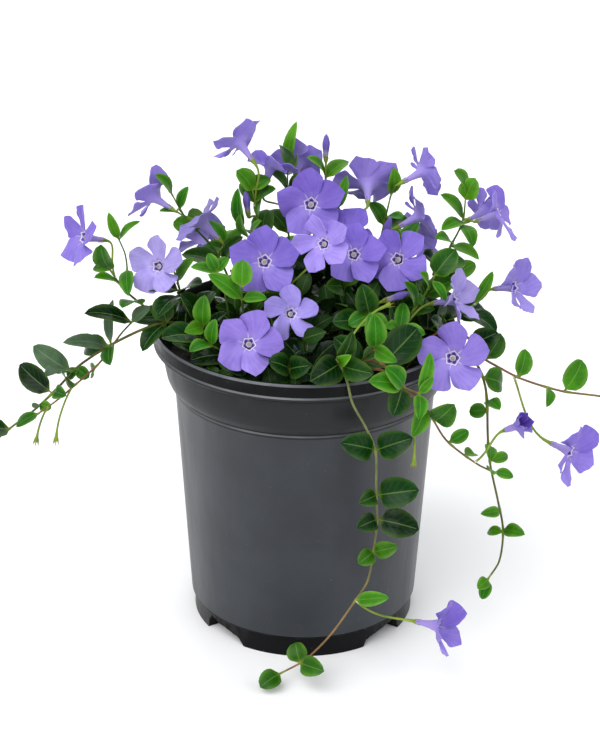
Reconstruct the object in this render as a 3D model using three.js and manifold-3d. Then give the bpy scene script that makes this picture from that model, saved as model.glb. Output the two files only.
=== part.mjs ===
// Potted lesser periwinkle: a nursery pot of soil, a crown of leafy stems, trailing runners and blooms.
// Millimetres, +Z up. The origin is the middle of the pot's flat underside, and the front is -Y.
import * as THREE from "three";
import { mergeVertices } from "three/addons/utils/BufferGeometryUtils.js";
import Module from "manifold-3d";

const wasm = await Module();
wasm.setup();

// Driving dimensions
const SEED = 1906;
const GAP = 0.3; // left between two pieces that rest on or in each other
const SEGMENTS = 32; // round the pot and the soil

const POT = {
  baseRadius: 60.5,
  footHeight: 12.2,
  footStep: 1.6,
  bodyTop: 135.2,
  bodyTopRadius: 69.3,
  collarRadius: 73.4,
  collarTopRadius: 75.2,
  lipBottom: 159.8,
  lipRadius: 80,
  height: 168.2,
  wall: 1.6,
  floor: 1.8,
};
const NOTCH = { count: 4, first: 45, width: 26, depth: 13, height: 11.6 };
const SOIL = { top: 149, lump: 1.6, ringsAt: [40] };
const HOLE = { clearance: 0.45, depth: 12.5 };

const STEM_SIDES = 4;
const LIGHT = { up: 0.7, outward: 0.2, front: 0.45, along: 0.3, lift: 0.25 }; // what leaves face
const SPREAD = { foot: 72, tip: 46, stray: 8, turn: 90 }; // degrees from the stem, and from pair to pair
const LEAF = { thickness: 0.8, petiole: 0.55, arch: 0.1, fold: 0.28, free: 0.22 };

// A blade's rows of corners: [share of its length, places across it], for leaves up to each width.
const BLADES = [
  [11, [[0, [0]], [0.42, [-1, 1]], [1, [0]]]],
  [14.4, [[0, [0]], [0.33, [-1, 1]], [0.7, [-1, 1]], [1, [0]]]],
  [99, [[0, [0]], [0.33, [-1, 0, 1]], [0.7, [-1, 1]], [1, [0]]]],
];
const FLOWER = {
  tube: 11,
  tubeEnd: 1,
  tubeTop: 0.14, // the rest are shares of the petals' reach
  mouth: 0.085,
  sinus: 0.3,
  pitch: 0.06,
};
const PETAL_THICKNESS = 0.8;
const THROAT_DEPTH = 3.2;
const CALYX = { neck: 0.9, notch: 1.7, notchAt: 1.8, tooth: 2.1, toothAt: 4.2, seat: 1.3, tubeAt: 3.1 };
const STALK = { sides: 3, radius: 0.65, steps: 3, hold: 0.35, lean: 4 };
const TEETH = 5;
const BUD = { length: 12, twist: 40, rings: [[0, 1], [0.3, 1.9], [0.65, 2.2], [0.88, 1.2]] };

// A corolla's outline for one petal: [degrees from the petal's middle, share of its reach, lift by pitch].
const PETAL = [
  [-30, 0.95, 1],
  [3, 1, 0.2],
  [29, 0.87, -1],
];

const COLOURS = {
  pot: { color: 0x2c2f33, roughness: 0.55, metalness: 0 },
  soil: { color: 0x1d1814, roughness: 1, metalness: 0 },
  green: { color: 0x2f6b24, roughness: 0.45, metalness: 0 },
  violet: { color: 0x8f7bd6, roughness: 0.6, metalness: 0 },
};

// The plant. A stem's route is its points, radius its two ends. Places along it (at) count its points.
// leaves: [at, tip, width]. pairs: rows of opposite leaves. blooms: [name, at, throat, facing, look].
// calyces: [at, end, facing] are those that have dropped their corolla. out bends a stalk at its foot.
const SPRIGS = {
  runner_left: [
    {
      route: [
        [-47, -8, 137], [-47, -8, 153], [-55, -9, 166], [-67, -11, 172], [-80, -16, 172],
        [-99, -20, 164], [-117, -24, 153], [-130, -28, 140], [-143, -30, 128], [-152, -30, 121],
        [-160, -30, 114],
      ],
      radius: [1.4, 0.9],
      leaves: [
        [5.1, [-100, -9, 184], 10], [5.2, [-123, -34, 171], 9], [5.15, [-117, -8, 156], 12],
        [5.1, [-100, -36, 159], 8], [6.3, [-142, -15, 160], 15], [6.3, [-132, -41, 156], 12],
        [7.1, [-150, -12, 148], 17], [7, [-122, -42, 144], 8], [9.3, [-168, -37, 120], 12],
      ],
      pairs: { from: 2.2, to: 3.4, count: 2, long: [21, 20], wide: [13, 12], turn: 20 },
    },
    {
      route: [[-99, -20, 164], [-95, -18, 169], [-90, -16, 174]],
      radius: [0.9, 0.7],
      leaves: [[2, [-113, -25, 183], 12], [2, [-80, -14, 182], 8]],
    },
    {
      route: [[-99, -20, 164], [-106, -30, 157], [-116, -35, 149], [-127, -38, 140], [-137, -40, 133]],
      radius: [0.9, 0.7],
      leaves: [[2.2, [-122, -46, 160], 9], [1.2, [-110, -22, 147], 8], [4, [-148, -46, 128], 7]],
      calyces: [
        { at: 2.4, end: [-129, -37, 118], facing: [-0.1, 0, -1], out: [-4, 0, -8] },
        { at: 3.5, end: [-139, -38, 118], facing: [-0.2, 0, -1], out: [-3, 0, -4] },
      ],
    },
  ],
  sprig_left: [
    {
      route: [[-53, 5, 137], [-53, 5, 153], [-63, 1, 167], [-79, -5, 175], [-94, -8, 189], [-101, -8, 200]],
      radius: [1.4, 0.8],
      leaves: [[5, [-105, -12, 215], 12], [4.2, [-108, -18, 200], 9], [5, [-112, -4, 204], 8]],
      pairs: { from: 2.3, to: 3.4, count: 2, long: [22, 20], wide: [13, 12], turn: 60 },
      blooms: [
        [
          "bloom_11", 4.6, [-116, 0, 215], [-0.82, -0.45, 0.3],
          { reach: 17, turn: 0, cup: 10, slim: 0.85 },
        ],
      ],
    },
    {
      route: [[-94, -8, 189], [-93, 0, 197], [-94, 2, 205], [-97, 4, 212]],
      radius: [0.8, 0.6],
      leaves: [[3, [-102, 4, 227], 5.5], [3, [-89, 2, 225], 6], [1, [-91, -19, 190], 8]],
    },
  ],
  sprig_left_top: [
    {
      route: [
        [-34, 14, 137], [-34, 14, 155], [-38, 15, 178], [-48, 16, 202], [-63, 18, 219], [-70, 16, 233],
      ],
      radius: [1.4, 0.7],
      leaves: [[5, [-80, 12, 244], 8], [4, [-76, 6, 227], 7], [4.4, [-62, 20, 236], 7]],
      pairs: { from: 1.7, to: 3.6, count: 3, long: [24, 16], wide: [15, 10], turn: 0 },
      blooms: [
        ["bloom_20", 4.3, [-80, 15, 232], [-0.82, 0.42, 0.4], { reach: 16, turn: 40, cup: 10 }],
        ["bloom_19", 2.8, [-54, 5, 222], [-0.68, 0.06, 0.72], { reach: 16, turn: 70, cup: 12 }],
      ],
    },
  ],
  sprig_top_left: [
    {
      route: [[-18, 20, 137], [-18, 20, 156], [-20, 18, 188], [-25, 16, 218], [-28, 15, 236]],
      radius: [1.4, 0.7],
      leaves: [[4, [-36, 14, 247], 9], [4, [-21, 17, 246], 8]],
      pairs: { from: 1.7, to: 3.6, count: 3, long: [24, 15], wide: [15, 10], turn: 40 },
      blooms: [
        ["bloom_13", 3.5, [-35, 20, 260], [-0.58, 0.56, 0.6], { reach: 16, turn: 10, cup: 12 }],
        ["bud_2", 3.1, [-31, 12, 231], [-0.1, -0.1, 1], { bud: true }],
      ],
    },
  ],
  sprig_top: [
    {
      route: [[-5, 30, 137], [-5, 30, 156], [-8, 29, 188], [-10, 33, 218], [-10, 35, 241]],
      radius: [1.4, 0.7],
      leaves: [[4, [-15, 32, 253], 8], [4, [-6, 37, 254], 8], [4, [-3, 40, 265], 6]],
      pairs: { from: 1.7, to: 3.5, count: 3, long: [24, 15], wide: [15, 10], turn: 10 },
      blooms: [
        ["bloom_14", 3, [-19, 25, 245], [0.25, 0.21, 0.95], { reach: 15, turn: 0, cup: 16 }],
        ["bloom_15", 3.2, [-5, 44, 241], [0.1, 0.89, 0.45], { reach: 15, turn: 50, cup: 10 }],
      ],
    },
  ],
  sprig_top_bud: [
    {
      route: [[12, 34, 137], [12, 34, 156], [11, 32, 196], [10, 30, 238]],
      radius: [1.4, 0.8],
      leaves: [[3, [1, 26, 251], 10], [3, [19, 31, 252], 10]],
      pairs: { from: 1.5, to: 2.7, count: 3, long: [23, 14], wide: [14, 10], turn: 70 },
      blooms: [["bud_1", 3, [10, 30, 256], [0, 0, 1], { bud: true }]],
    },
  ],
  sprig_crown: [
    {
      route: [[14, 12, 137], [14, 12, 156], [13, 13, 188], [13, 14, 212], [16, 14, 226]],
      radius: [1.4, 0.8],
      leaves: [[4, [21, 16, 244], 6], [4, [8, 18, 239], 7]],
      pairs: { from: 1.6, to: 3.2, count: 3, long: [22, 16], wide: [14, 10], turn: 30 },
      blooms: [
        ["bloom_01", 3.3, [2, 0, 234], [-0.1, -0.86, 0.5], { reach: 18, turn: 29, cup: 0 }],
        ["bloom_16", 3.6, [32, 22, 237], [0.02, 0.88, 0.47], { reach: 18, turn: 44, cup: 14 }],
      ],
    },
  ],
  sprig_right_top: [
    {
      route: [[34, 20, 137], [34, 20, 156], [36, 20, 186], [40, 19, 212], [44, 20, 232]],
      radius: [1.4, 0.7],
      leaves: [[4, [42, 26, 246], 8], [3.4, [50, 12, 222], 9]],
      pairs: { from: 1.6, to: 3.2, count: 3, long: [24, 15], wide: [15, 10], turn: 50 },
      blooms: [
        ["bloom_17", 4, [60, 20, 245], [0.82, 0.47, 0.3], { reach: 15, turn: 56, cup: 12 }],
        ["bloom_18", 2.9, [59, 14, 223], [0.86, 0.29, 0.39], { reach: 16, turn: 50, cup: 4 }],
        ["bud_3", 2.9, [42, 5, 220], [0.25, -0.1, 0.95], { bud: true }],
      ],
    },
  ],
  sprig_right_high: [
    {
      route: [
        [49, 2, 137], [49, 2, 155], [58, -2, 176], [66, -3, 192], [75, 4, 210], [81, 8, 222], [82, 8, 239],
      ],
      radius: [1.4, 0.6],
      leaves: [
        [6, [76, 5, 251], 11], [6, [89, 9, 250], 11], [5.1, [69, 5, 238], 10], [5, [71, -7, 227], 8],
        [4.9, [87, -7, 218], 9], [4.1, [67, -6, 219], 9], [4, [90, 0, 205], 9], [3.3, [60, -8, 210], 14],
        [3.3, [83, 9, 201], 12],
      ],
      pairs: { from: 1.5, to: 2.5, count: 2, long: [22, 20], wide: [14, 12], turn: 15 },
      blooms: [
        ["bloom_22", 5, [100, 5, 228], [0.88, -0.2, 0.41], { reach: 16, turn: 43, cup: 4 }],
        ["bloom_21", 4.7, [94, 28, 221], [0.75, 0.6, 0.25], { reach: 13, turn: 24, cup: 6 }],
      ],
    },
  ],
  sprig_right_mid: [
    {
      route: [[38, -6, 137], [38, -6, 155], [43, -10, 172], [51, -16, 188], [56, -16, 198]],
      radius: [1.3, 0.7],
      leaves: [
        [3.2, [49, -28, 206], 10], [4, [51, -22, 211], 8], [4, [63, -12, 209], 9], [3.4, [60, -27, 195], 7],
      ],
      pairs: { from: 1.4, to: 2.6, count: 2, long: [22, 20], wide: [14, 12], turn: 40 },
      blooms: [["bloom_08", 2.4, [46, -20, 212], [-0.3, -0.79, 0.53], { reach: 17, turn: 49, cup: 2 }]],
    },
  ],
  sprig_right: [
    {
      route: [[42, -26, 137], [42, -26, 153], [44, -34, 168], [47, -42, 181]],
      radius: [1.3, 0.8],
      leaves: [[3, [40, -56, 190], 8], [3, [58, -50, 186], 9], [3, [50, -34, 195], 8]],
      pairs: { from: 1.3, to: 2.4, count: 2, long: [23, 21], wide: [15, 13], turn: 80 },
      blooms: [
        [
          "bloom_10", 2.9, [75, -35, 196], [0.8, -0.48, 0.36],
          { reach: 16, turn: 37, cup: 0, slim: 0.85 },
        ],
      ],
    },
  ],
  sprig_right_low: [
    {
      route: [[59, -2, 137], [59, -2, 154], [68, -3, 168], [79, -4, 174], [88, -3, 180]],
      radius: [1.3, 0.8],
      leaves: [
        [4, [98, 7, 195], 6], [3.3, [99, -18, 177], 14], [2.8, [96, 12, 172], 14], [2.6, [78, 16, 184], 13],
      ],
      pairs: { from: 1.6, to: 2.3, count: 2, long: [22, 22], wide: [14, 14], turn: 30 },
      blooms: [["bloom_23", 4, [108, -10, 193], [0.75, -0.57, 0.32], { reach: 16, turn: 68, cup: 4 }]],
    },
  ],
  runner_right_arch: [
    {
      route: [
        [53, -20, 137], [53, -20, 153], [63, -20, 167], [75, -20, 174], [86, -24, 168],
        [91, -30, 162], [98, -34, 159], [110, -38, 154], [130, -44, 150], [150, -48, 149], [159, -50, 148],
      ],
      radius: [1.3, 0.9],
      leaves: [
        [6.9, [113, -28, 166], 10], [8.1, [142, -34, 163], 14], [7.7, [122, -58, 148], 6],
        [5.2, [101, -22, 172], 11],
        [4.1, [98, -30, 176], 12], [2.6, [72, -34, 182], 14],
      ],
      blooms: [
        [
          "bloom_24", 6.7, [137, -50, 118], [0.76, -0.65, -0.08],
          { reach: 18, turn: 66, cup: 4, out: [5, -3, -12] },
        ],
      ],
    },
  ],
  runner_right_hanging: [
    {
      route: [
        [49, -38, 137], [49, -38, 153], [58, -39, 168], [68, -41, 174], [80, -42, 170], [88, -43, 162],
        [92, -46, 150], [94, -48, 124], [96, -48, 109], [101, -46, 88], [105, -44, 69], [104, -44, 50],
        [98, -48, 41],
      ],
      radius: [1.3, 0.8],
      leaves: [
        [5.4, [102, -36, 150], 13], [6.2, [98, -57, 146], 8], [6.4, [84, -44, 138], 8],
        [7.2, [94, -62, 119], 7],
        [7.8, [106, -38, 110], 6], [9.4, [92, -54, 84], 6], [10, [115, -54, 72], 8],
        [10.1, [98, -34, 62], 6],
        [12, [95, -52, 31], 7], [12, [92, -56, 40], 7], [3.1, [64, -56, 184], 15],
        [2.4, [46, -50, 178], 14],
      ],
      blooms: [["bloom_09", 4.4, [73, -58, 174], [-0.15, -0.88, 0.41], { reach: 18.5, turn: 21, cup: 2 }]],
    },
  ],
  runner_right_front: [
    {
      route: [
        [30, -53, 137], [30, -53, 153], [33, -63, 169], [40, -76, 174], [48, -82, 168], [59, -80, 157],
        [70, -77, 138], [87, -70, 121], [96, -67, 115],
      ],
      radius: [1.3, 0.7],
      leaves: [
        [5.4, [72, -88, 162], 13], [5, [57, -92, 145], 9], [6.1, [82, -70, 140], 7],
        [6.6, [84, -84, 134], 7],
        [8, [106, -66, 112], 6], [7.6, [94, -78, 120], 6],
      ],
      blooms: [
        [
          "bloom_26", 6.9, [104, -68, 139], [0.7, -0.62, 0.3],
          { reach: 12, turn: 30, cup: 60, out: [5, 3, 6] },
        ],
      ],
      calyces: [{ at: 4.5, end: [54, -84, 130], facing: [0, 0, -1], out: [0, -3, -10] }],
    },
  ],
  runner_front: [
    {
      route: [
        [8, -47, 137], [8, -47, 153], [11, -58, 170], [16, -72, 178], [20, -80, 172], [23, -81, 160],
        [30, -80, 146], [35, -79, 133], [36, -77, 110], [37, -75, 91], [36, -74, 76], [33, -74, 55],
        [27, -75, 44], [14, -79, 25], [1, -84, 13], [-12, -88, 7],
      ],
      radius: [1.5, 0.8],
      leaves: [
        [3.2, [3, -90, 176], 15], [3.1, [17, -78, 196], 9], [3.1, [27, -88, 192], 7],
        [3.3, [33, -84, 184], 12],
        [7, [18, -87, 141], 14], [7, [53, -85, 143], 14], [8.2, [28, -87, 108], 8],
        [8.2, [57, -81, 112], 16],
        [8.95, [27, -84, 92], 10], [8.95, [58, -80, 89], 15], [10.2, [28, -82, 70], 9],
        [10.2, [48, -80, 79], 9],
        [12, [44, -82, 50], 8], [14.2, [-4, -78, 20], 11], [14.2, [11, -96, 14], 11],
        [15, [-22, -96, 4], 11],
      ],
      blooms: [
        [
          "bloom_25", 12, [69, -88, 37], [0.86, -0.5, 0.12],
          { reach: 16, turn: 62, cup: 6, out: [9, -3, -9] },
        ],
      ],
      calyces: [{ at: 3, end: [40, -42, 195], facing: [0.8, 0.6, 0.05], out: [5, 3, 10] }],
    },
  ],
  sprig_front_right: [
    {
      route: [[24, -42, 137], [24, -42, 153], [28, -54, 170], [34, -70, 184]],
      radius: [1.4, 0.8],
      leaves: [
        [3, [33, -71, 203], 12], [3, [42, -67, 200], 7], [3, [46, -80, 194], 9], [3, [27, -83, 187], 8],
        [1.8, [14, -52, 182], 14], [1.9, [44, -46, 178], 14],
      ],
    },
    {
      route: [[28, -54, 170], [35, -65, 175], [42, -77, 175], [47, -85, 171], [55, -87, 168]],
      radius: [1, 0.7],
      leaves: [
        [3, [29, -93, 178], 12], [3, [38, -97, 161], 13], [3.1, [37, -90, 185], 12],
        [4, [55, -99, 158], 10],
        [4, [61, -78, 186], 8], [4, [66, -80, 180], 6], [1.4, [56, -52, 188], 17],
      ],
    },
  ],
  sprig_centre: [
    {
      route: [[18, -8, 137], [18, -8, 155], [19, -12, 180], [20, -14, 202]],
      radius: [1.5, 0.9],
      pairs: { from: 1.3, to: 2.6, count: 3, long: [23, 18], wide: [15, 11], turn: 0 },
      blooms: [
        ["bloom_06", 2.9, [24, -27, 217], [0, -0.86, 0.51], { reach: 16, turn: 20, cup: 2 }],
        ["bloom_07", 2.4, [19, -4, 219], [0.1, -0.75, 0.65], { reach: 14.5, turn: 60, cup: 6 }],
      ],
    },
    {
      route: [[18, -8, 155], [22, -19, 168], [29, -32, 181], [32, -40, 189]],
      radius: [1, 0.7],
      leaves: [
        [3, [34, -44, 206], 12], [3, [22, -48, 190], 9], [3, [41, -46, 186], 7], [2, [14, -40, 186], 13],
      ],
      blooms: [["bud_4", 2.5, [47, -31, 196], [0.93, -0.05, 0.36], { bud: true }]],
    },
  ],
  sprig_front: [
    {
      route: [[-14, -24, 137], [-14, -24, 154], [-16, -26, 172], [-20, -21, 192]],
      radius: [1.4, 0.8],
      leaves: [[3, [-35, -38, 207], 11], [1.5, [0, -44, 168], 15], [1.6, [-10, -48, 170], 14]],
      pairs: { from: 1.4, to: 2.7, count: 3, long: [23, 18], wide: [15, 12], turn: 55 },
      blooms: [
        [
          "bloom_04", 2.1, [-7, -45, 192], [0.3, -0.79, 0.53],
          { reach: 13.5, turn: 26, cup: 0, slim: 0.78 },
        ],
        ["bloom_02", 3, [-21, -30, 214], [0, -0.85, 0.52], { reach: 18, turn: 27, cup: 0 }],
        [
          "bloom_05", 2.6, [8, -42, 228], [-0.35, -0.85, 0.39],
          { reach: 13.5, turn: 42, cup: 4, out: [8, -6, 18], hold: 5 },
        ],
      ],
    },
    {
      route: [[-14, -24, 154], [-10, -38, 158], [-7, -52, 162], [-8, -64, 170]],
      radius: [1, 0.7],
      leaves: [
        [3, [-18, -72, 178], 12], [3, [-2, -74, 182], 12], [2.2, [6, -68, 168], 13],
        [2, [-18, -56, 164], 13],
      ],
    },
  ],
  sprig_front_left: [
    {
      route: [[-31, -37, 137], [-31, -37, 154], [-38, -44, 168], [-47, -49, 176]],
      radius: [1.3, 0.8],
      leaves: [
        [3, [-57, -61, 179], 9], [3, [-45, -48, 190], 8], [2.4, [-30, -62, 166], 13],
        [2, [-56, -54, 168], 14],
      ],
      pairs: { from: 1.3, to: 1.9, count: 2, long: [22, 22], wide: [14, 14], turn: 10 },
      blooms: [["bloom_03", 1.6, [-28, -60, 182], [0.05, -0.8, 0.59], { reach: 17, turn: 5, cup: 0 }]],
    },
  ],
  sprig_left_front: [
    {
      route: [[-48, -27, 137], [-48, -27, 154], [-51, -32, 168], [-52, -35, 180]],
      radius: [1.3, 0.8],
      leaves: [
        [3, [-51, -34, 197], 10], [3, [-62, -40, 188], 8], [2.4, [-72, -50, 180], 16],
        [2.2, [-40, -54, 176], 13],
      ],
      pairs: { from: 1.3, to: 2.2, count: 2, long: [23, 22], wide: [14, 14], turn: 60 },
    },
  ],
  sprig_left_mid: [
    {
      route: [[-46, -18, 137], [-46, -18, 154], [-55, -12, 170], [-64, -5, 184], [-67, -2, 191]],
      radius: [1.3, 0.8],
      leaves: [
        [3.4, [-85, -14, 184], 15], [3, [-76, -24, 182], 14], [3.2, [-58, -22, 194], 13],
        [4, [-58, 0, 204], 9],
      ],
      pairs: { from: 1.4, to: 2.3, count: 2, long: [23, 22], wide: [14, 13], turn: 35 },
      blooms: [
        [
          "bloom_12", 3.6, [-77, -5, 201], [-0.4, -0.83, 0.38],
          { reach: 16, turn: 18, cup: 8, out: [-1, 6, 2] },
        ],
      ],
    },
  ],
  sprig_back_left: [
    {
      route: [[-26, 43, 137], [-26, 43, 155], [-34, 50, 174], [-44, 56, 190]],
      radius: [1.4, 0.8],
      leaves: [[3, [-54, 62, 202], 9], [3, [-40, 66, 202], 9]],
      pairs: { from: 1.5, to: 2.6, count: 2, long: [25, 20], wide: [15, 12], turn: 20 },
      blooms: [["bloom_27", 2.6, [-58, 68, 190], [-0.5, 0.75, 0.43], { reach: 16, turn: 20, cup: 6 }]],
    },
    {
      route: [[-26, 43, 155], [-20, 54, 170], [-16, 66, 182]],
      radius: [1.1, 0.7],
      leaves: [[2, [-24, 76, 194], 9], [2, [-6, 74, 194], 9]],
      pairs: { from: 0.7, to: 1.4, count: 2, long: [20, 18], wide: [13, 12], turn: 70 },
    },
  ],
  sprig_back: [
    {
      route: [
        [4, 51, 137], [4, 51, 154], [5, 63, 169], [6, 76, 175], [8, 86, 167], [12, 88, 148],
        [14, 86, 124], [10, 84, 100], [4, 84, 80],
      ],
      radius: [1.4, 0.8],
      leaves: [[8, [-4, 88, 68], 8], [8, [10, 94, 72], 8]],
      pairs: { from: 2.3, to: 7.2, count: 5, long: [22, 15], wide: [14, 10], turn: 0 },
      blooms: [
        [
          "bloom_28", 5.3, [30, 100, 128], [0.5, 0.83, 0.25],
          { reach: 16, turn: 30, cup: 4, out: [4, 4, -8] },
        ],
      ],
    },
  ],
  sprig_back_right: [
    {
      route: [[36, 43, 137], [36, 43, 155], [44, 50, 174], [52, 55, 190]],
      radius: [1.4, 0.8],
      leaves: [[3, [62, 60, 203], 9], [3, [46, 66, 202], 9]],
      pairs: { from: 1.5, to: 2.6, count: 2, long: [25, 20], wide: [15, 12], turn: 60 },
      blooms: [["bloom_29", 2.6, [60, 68, 190], [0.5, 0.75, 0.43], { reach: 16, turn: 40, cup: 6 }]],
    },
    {
      route: [[36, 43, 155], [52, 36, 168], [68, 34, 178], [80, 36, 180]],
      radius: [1.1, 0.7],
      leaves: [[3, [92, 42, 186], 10], [3, [82, 26, 190], 9]],
      pairs: { from: 0.8, to: 2.2, count: 2, long: [24, 20], wide: [15, 12], turn: 10 },
    },
  ],
};

// A leaf that would cross a neighbour tries these: lift and swing in degrees, and share of its length.
const BENDS = [
  [0, 0, 1], [14, 0, 1], [-14, 0, 1], [0, 18, 1], [0, -18, 1], [14, 18, 1], [14, -18, 1], [-14, 18, 1],
  [-14, -18, 1], [30, 0, 1], [0, 36, 1], [0, -36, 1], [30, 30, 0.9], [30, -30, 0.9], [-28, 0, 0.9],
  [50, 0, 0.85], [0, 0, 0.75], [30, 0, 0.7], [-20, 30, 0.7], [-20, -30, 0.7],
];

// Small vector and number helpers
const UP = new THREE.Vector3(0, 0, 1);
const FRONT = new THREE.Vector3(0, -1, 0);
const vector = (p) => new THREE.Vector3(...p);
const radians = THREE.MathUtils.degToRad;
const lerp = THREE.MathUtils.lerp;
const sum = (base, ...terms) => terms.reduce((p, [v, k]) => p.addScaledVector(v, k), base.clone());

// A seeded stream of draws between two values.
function draws(seed) {
  let state = seed;
  return (low, high) => {
    state = (state + 0x6d2b79f5) | 0;
    let t = Math.imul(state ^ (state >>> 15), 1 | state);
    t = (t + Math.imul(t ^ (t >>> 7), 61 | t)) ^ t;
    return low + ((high - low) * ((t ^ (t >>> 14)) >>> 0)) / 4294967296;
  };
}

// Collects points and triangles, and hands them over as one closed geometry.
class Skin {
  constructor() {
    this.points = [];
    this.faces = [];
  }

  row(points) {
    return points.map((p) => this.points.push(p) - 1);
  }

  face(a, b, c, flip = false) {
    this.faces.push(a, ...(flip ? [c, b] : [b, c]));
  }

  // Joins two rows of corners, which may differ in number, by the same split whichever side is out.
  stitch(a, b, flip = false) {
    let i = 0;
    let j = 0;
    while (i < a.length - 1 || j < b.length - 1) {
      const nextA = i < a.length - 1 ? (i + 1) / (a.length - 1) : 2;
      const nextB = j < b.length - 1 ? (j + 1) / (b.length - 1) : 2;
      if (nextA <= nextB) {
        this.face(a[i], a[i + 1], b[j], flip);
        i += 1;
      } else {
        this.face(a[i], b[j + 1], b[j], flip);
        j += 1;
      }
    }
  }

  stitchRings(a, b) {
    this.stitch([...a, a[0]], b.length > 1 ? [...b, b[0]] : b);
  }

  cap(row, flip) {
    for (let i = 1; i < row.length - 1; i += 1) this.face(row[0], row[i], row[i + 1], flip);
  }

  // Joins closed rings in order and closes both ends.
  loft(rings) {
    const rows = rings.map((ring) => this.row(ring));
    for (let i = 0; i < rows.length - 1; i += 1) this.stitchRings(rows[i], rows[i + 1]);
    this.cap(rows[0], true);
    this.cap(rows.at(-1), false);
  }

  geometry() {
    const positions = this.points.flatMap((p) => [p.x, p.y, p.z]);
    return new THREE.BufferGeometry()
      .setAttribute("position", new THREE.Float32BufferAttribute(positions, 3))
      .setIndex(this.faces);
  }
}

// A closed geometry as a solid that can be joined and cut.
function solid(geometry) {
  const plain = new THREE.BufferGeometry();
  plain.setAttribute("position", geometry.getAttribute("position"));
  plain.setIndex(geometry.index);
  const merged = mergeVertices(plain, 1e-4);
  const corners = merged.index.array;
  const triVerts = [];
  for (let i = 0; i < corners.length; i += 3) {
    const [a, b, c] = [corners[i], corners[i + 1], corners[i + 2]];
    if (a !== b && b !== c && c !== a) triVerts.push(a, b, c);
  }
  return new wasm.Manifold(
    new wasm.Mesh({
      numProp: 3,
      vertProperties: merged.getAttribute("position").array,
      triVerts: new Uint32Array(triVerts),
    }),
  );
}

function geometryOf(body) {
  const mesh = body.getMesh();
  return new THREE.BufferGeometry()
    .setAttribute("position", new THREE.BufferAttribute(mesh.vertProperties, 3))
    .setIndex(new THREE.BufferAttribute(mesh.triVerts, 1));
}

// Pot and soil
function revolved(profile) {
  const points = profile.map(([r, z]) => new THREE.Vector2(r, z));
  return new THREE.LatheGeometry(points, SEGMENTS).rotateX(Math.PI / 2);
}

function potSolid() {
  const { baseRadius, footHeight, footStep, bodyTop, bodyTopRadius, collarRadius, collarTopRadius } = POT;
  const { lipBottom, lipRadius, height, wall, floor } = POT;
  const profile = [
    [0, 0],
    [baseRadius, 0],
    [baseRadius, footHeight],
    [baseRadius + footStep, footHeight],
    [bodyTopRadius, bodyTop],
    [collarRadius, bodyTop + 3],
    [collarTopRadius, lipBottom - 1.2],
    [lipRadius - 0.4, lipBottom],
    [lipRadius, height - 1.4],
    [lipRadius - 1.1, height],
    [lipRadius - 3, height],
    [collarTopRadius - wall, lipBottom - 0.8],
    [collarRadius - wall - 0.2, bodyTop + 3.8],
    [bodyTopRadius - wall, bodyTop - 0.8],
    [baseRadius - wall, floor],
    [0, floor],
  ];
  let pot = solid(revolved(profile));
  for (let i = 0; i < NOTCH.count; i += 1) {
    pot = pot.subtract(notchSolid(NOTCH.first + (i * 360) / NOTCH.count));
  }
  return pot;
}

// The block that a drainage notch takes out of the foot, at an angle round the pot.
function notchSolid(angle) {
  const inner = POT.baseRadius - NOTCH.depth;
  const outer = POT.baseRadius + NOTCH.depth;
  const half = radians(NOTCH.width / 2);
  const shape = new THREE.Shape();
  shape.absarc(0, 0, outer, -half, half, false);
  shape.absarc(0, 0, inner, half, -half, true);
  const block = { depth: 2 * NOTCH.height, bevelEnabled: false, curveSegments: 3 };
  const cut = new THREE.ExtrudeGeometry(shape, block);
  return solid(cut.translate(0, 0, -NOTCH.height).rotateZ(radians(angle)));
}

function soilSolid() {
  const { baseRadius, bodyTop, bodyTopRadius, collarRadius, collarTopRadius, wall, floor } = POT;
  const share = (SOIL.top - bodyTop) / (POT.lipBottom - bodyTop);
  const edge = lerp(collarRadius, collarTopRadius, share) - wall - 2 * GAP;
  const profile = [
    [0, floor + GAP],
    [baseRadius - wall - GAP, floor + GAP],
    [bodyTopRadius - wall - GAP, bodyTop - 0.6],
    [collarRadius - wall - 0.2 - GAP, bodyTop + 4.4],
    [edge, SOIL.top],
    ...SOIL.ringsAt.map((r) => [r, SOIL.top]),
    [0, SOIL.top],
  ];
  const geometry = revolved(profile);
  const place = geometry.getAttribute("position");
  for (let i = 0; i < place.count; i += 1) {
    if (place.getZ(i) > SOIL.top - 1) place.setZ(i, soilHeight(place.getX(i), place.getY(i)));
  }
  return solid(geometry);
}

// The lumpy top of the soil.
function soilHeight(x, y) {
  return SOIL.top + SOIL.lump * Math.sin(x / 9 + 1.3) * Math.cos(y / 11 - 0.6);
}

// The plain hole that a stem stands in.
function holeSolid({ route: [[x, y]], radius: [foot] }) {
  const across = foot + HOLE.clearance / Math.cos(Math.PI / STEM_SIDES);
  const prism = new THREE.CylinderGeometry(across, across, 2 * HOLE.depth, STEM_SIDES);
  return solid(prism.rotateX(Math.PI / 2).translate(x, y, SOIL.top));
}

// Stems
class Stem {
  constructor({ route, radius }) {
    this.centres = route.map(vector);
    this.radius = radius;
  }

  // The route's point before a place, and how far the place lies beyond it.
  before(place) {
    const first = Math.min(Math.floor(place), this.centres.length - 2);
    return [first, place - first];
  }

  at(place) {
    const [first, beyond] = this.before(place);
    return this.centres[first].clone().lerp(this.centres[first + 1], beyond);
  }

  along(place) {
    const [first] = this.before(place);
    return this.centres[first + 1].clone().sub(this.centres[first]).normalize();
  }

  solid() {
    const skin = new Skin();
    skin.loft(tubeRings(this.centres, (share) => lerp(...this.radius, share), STEM_SIDES));
    return solid(skin.geometry());
  }
}

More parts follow.
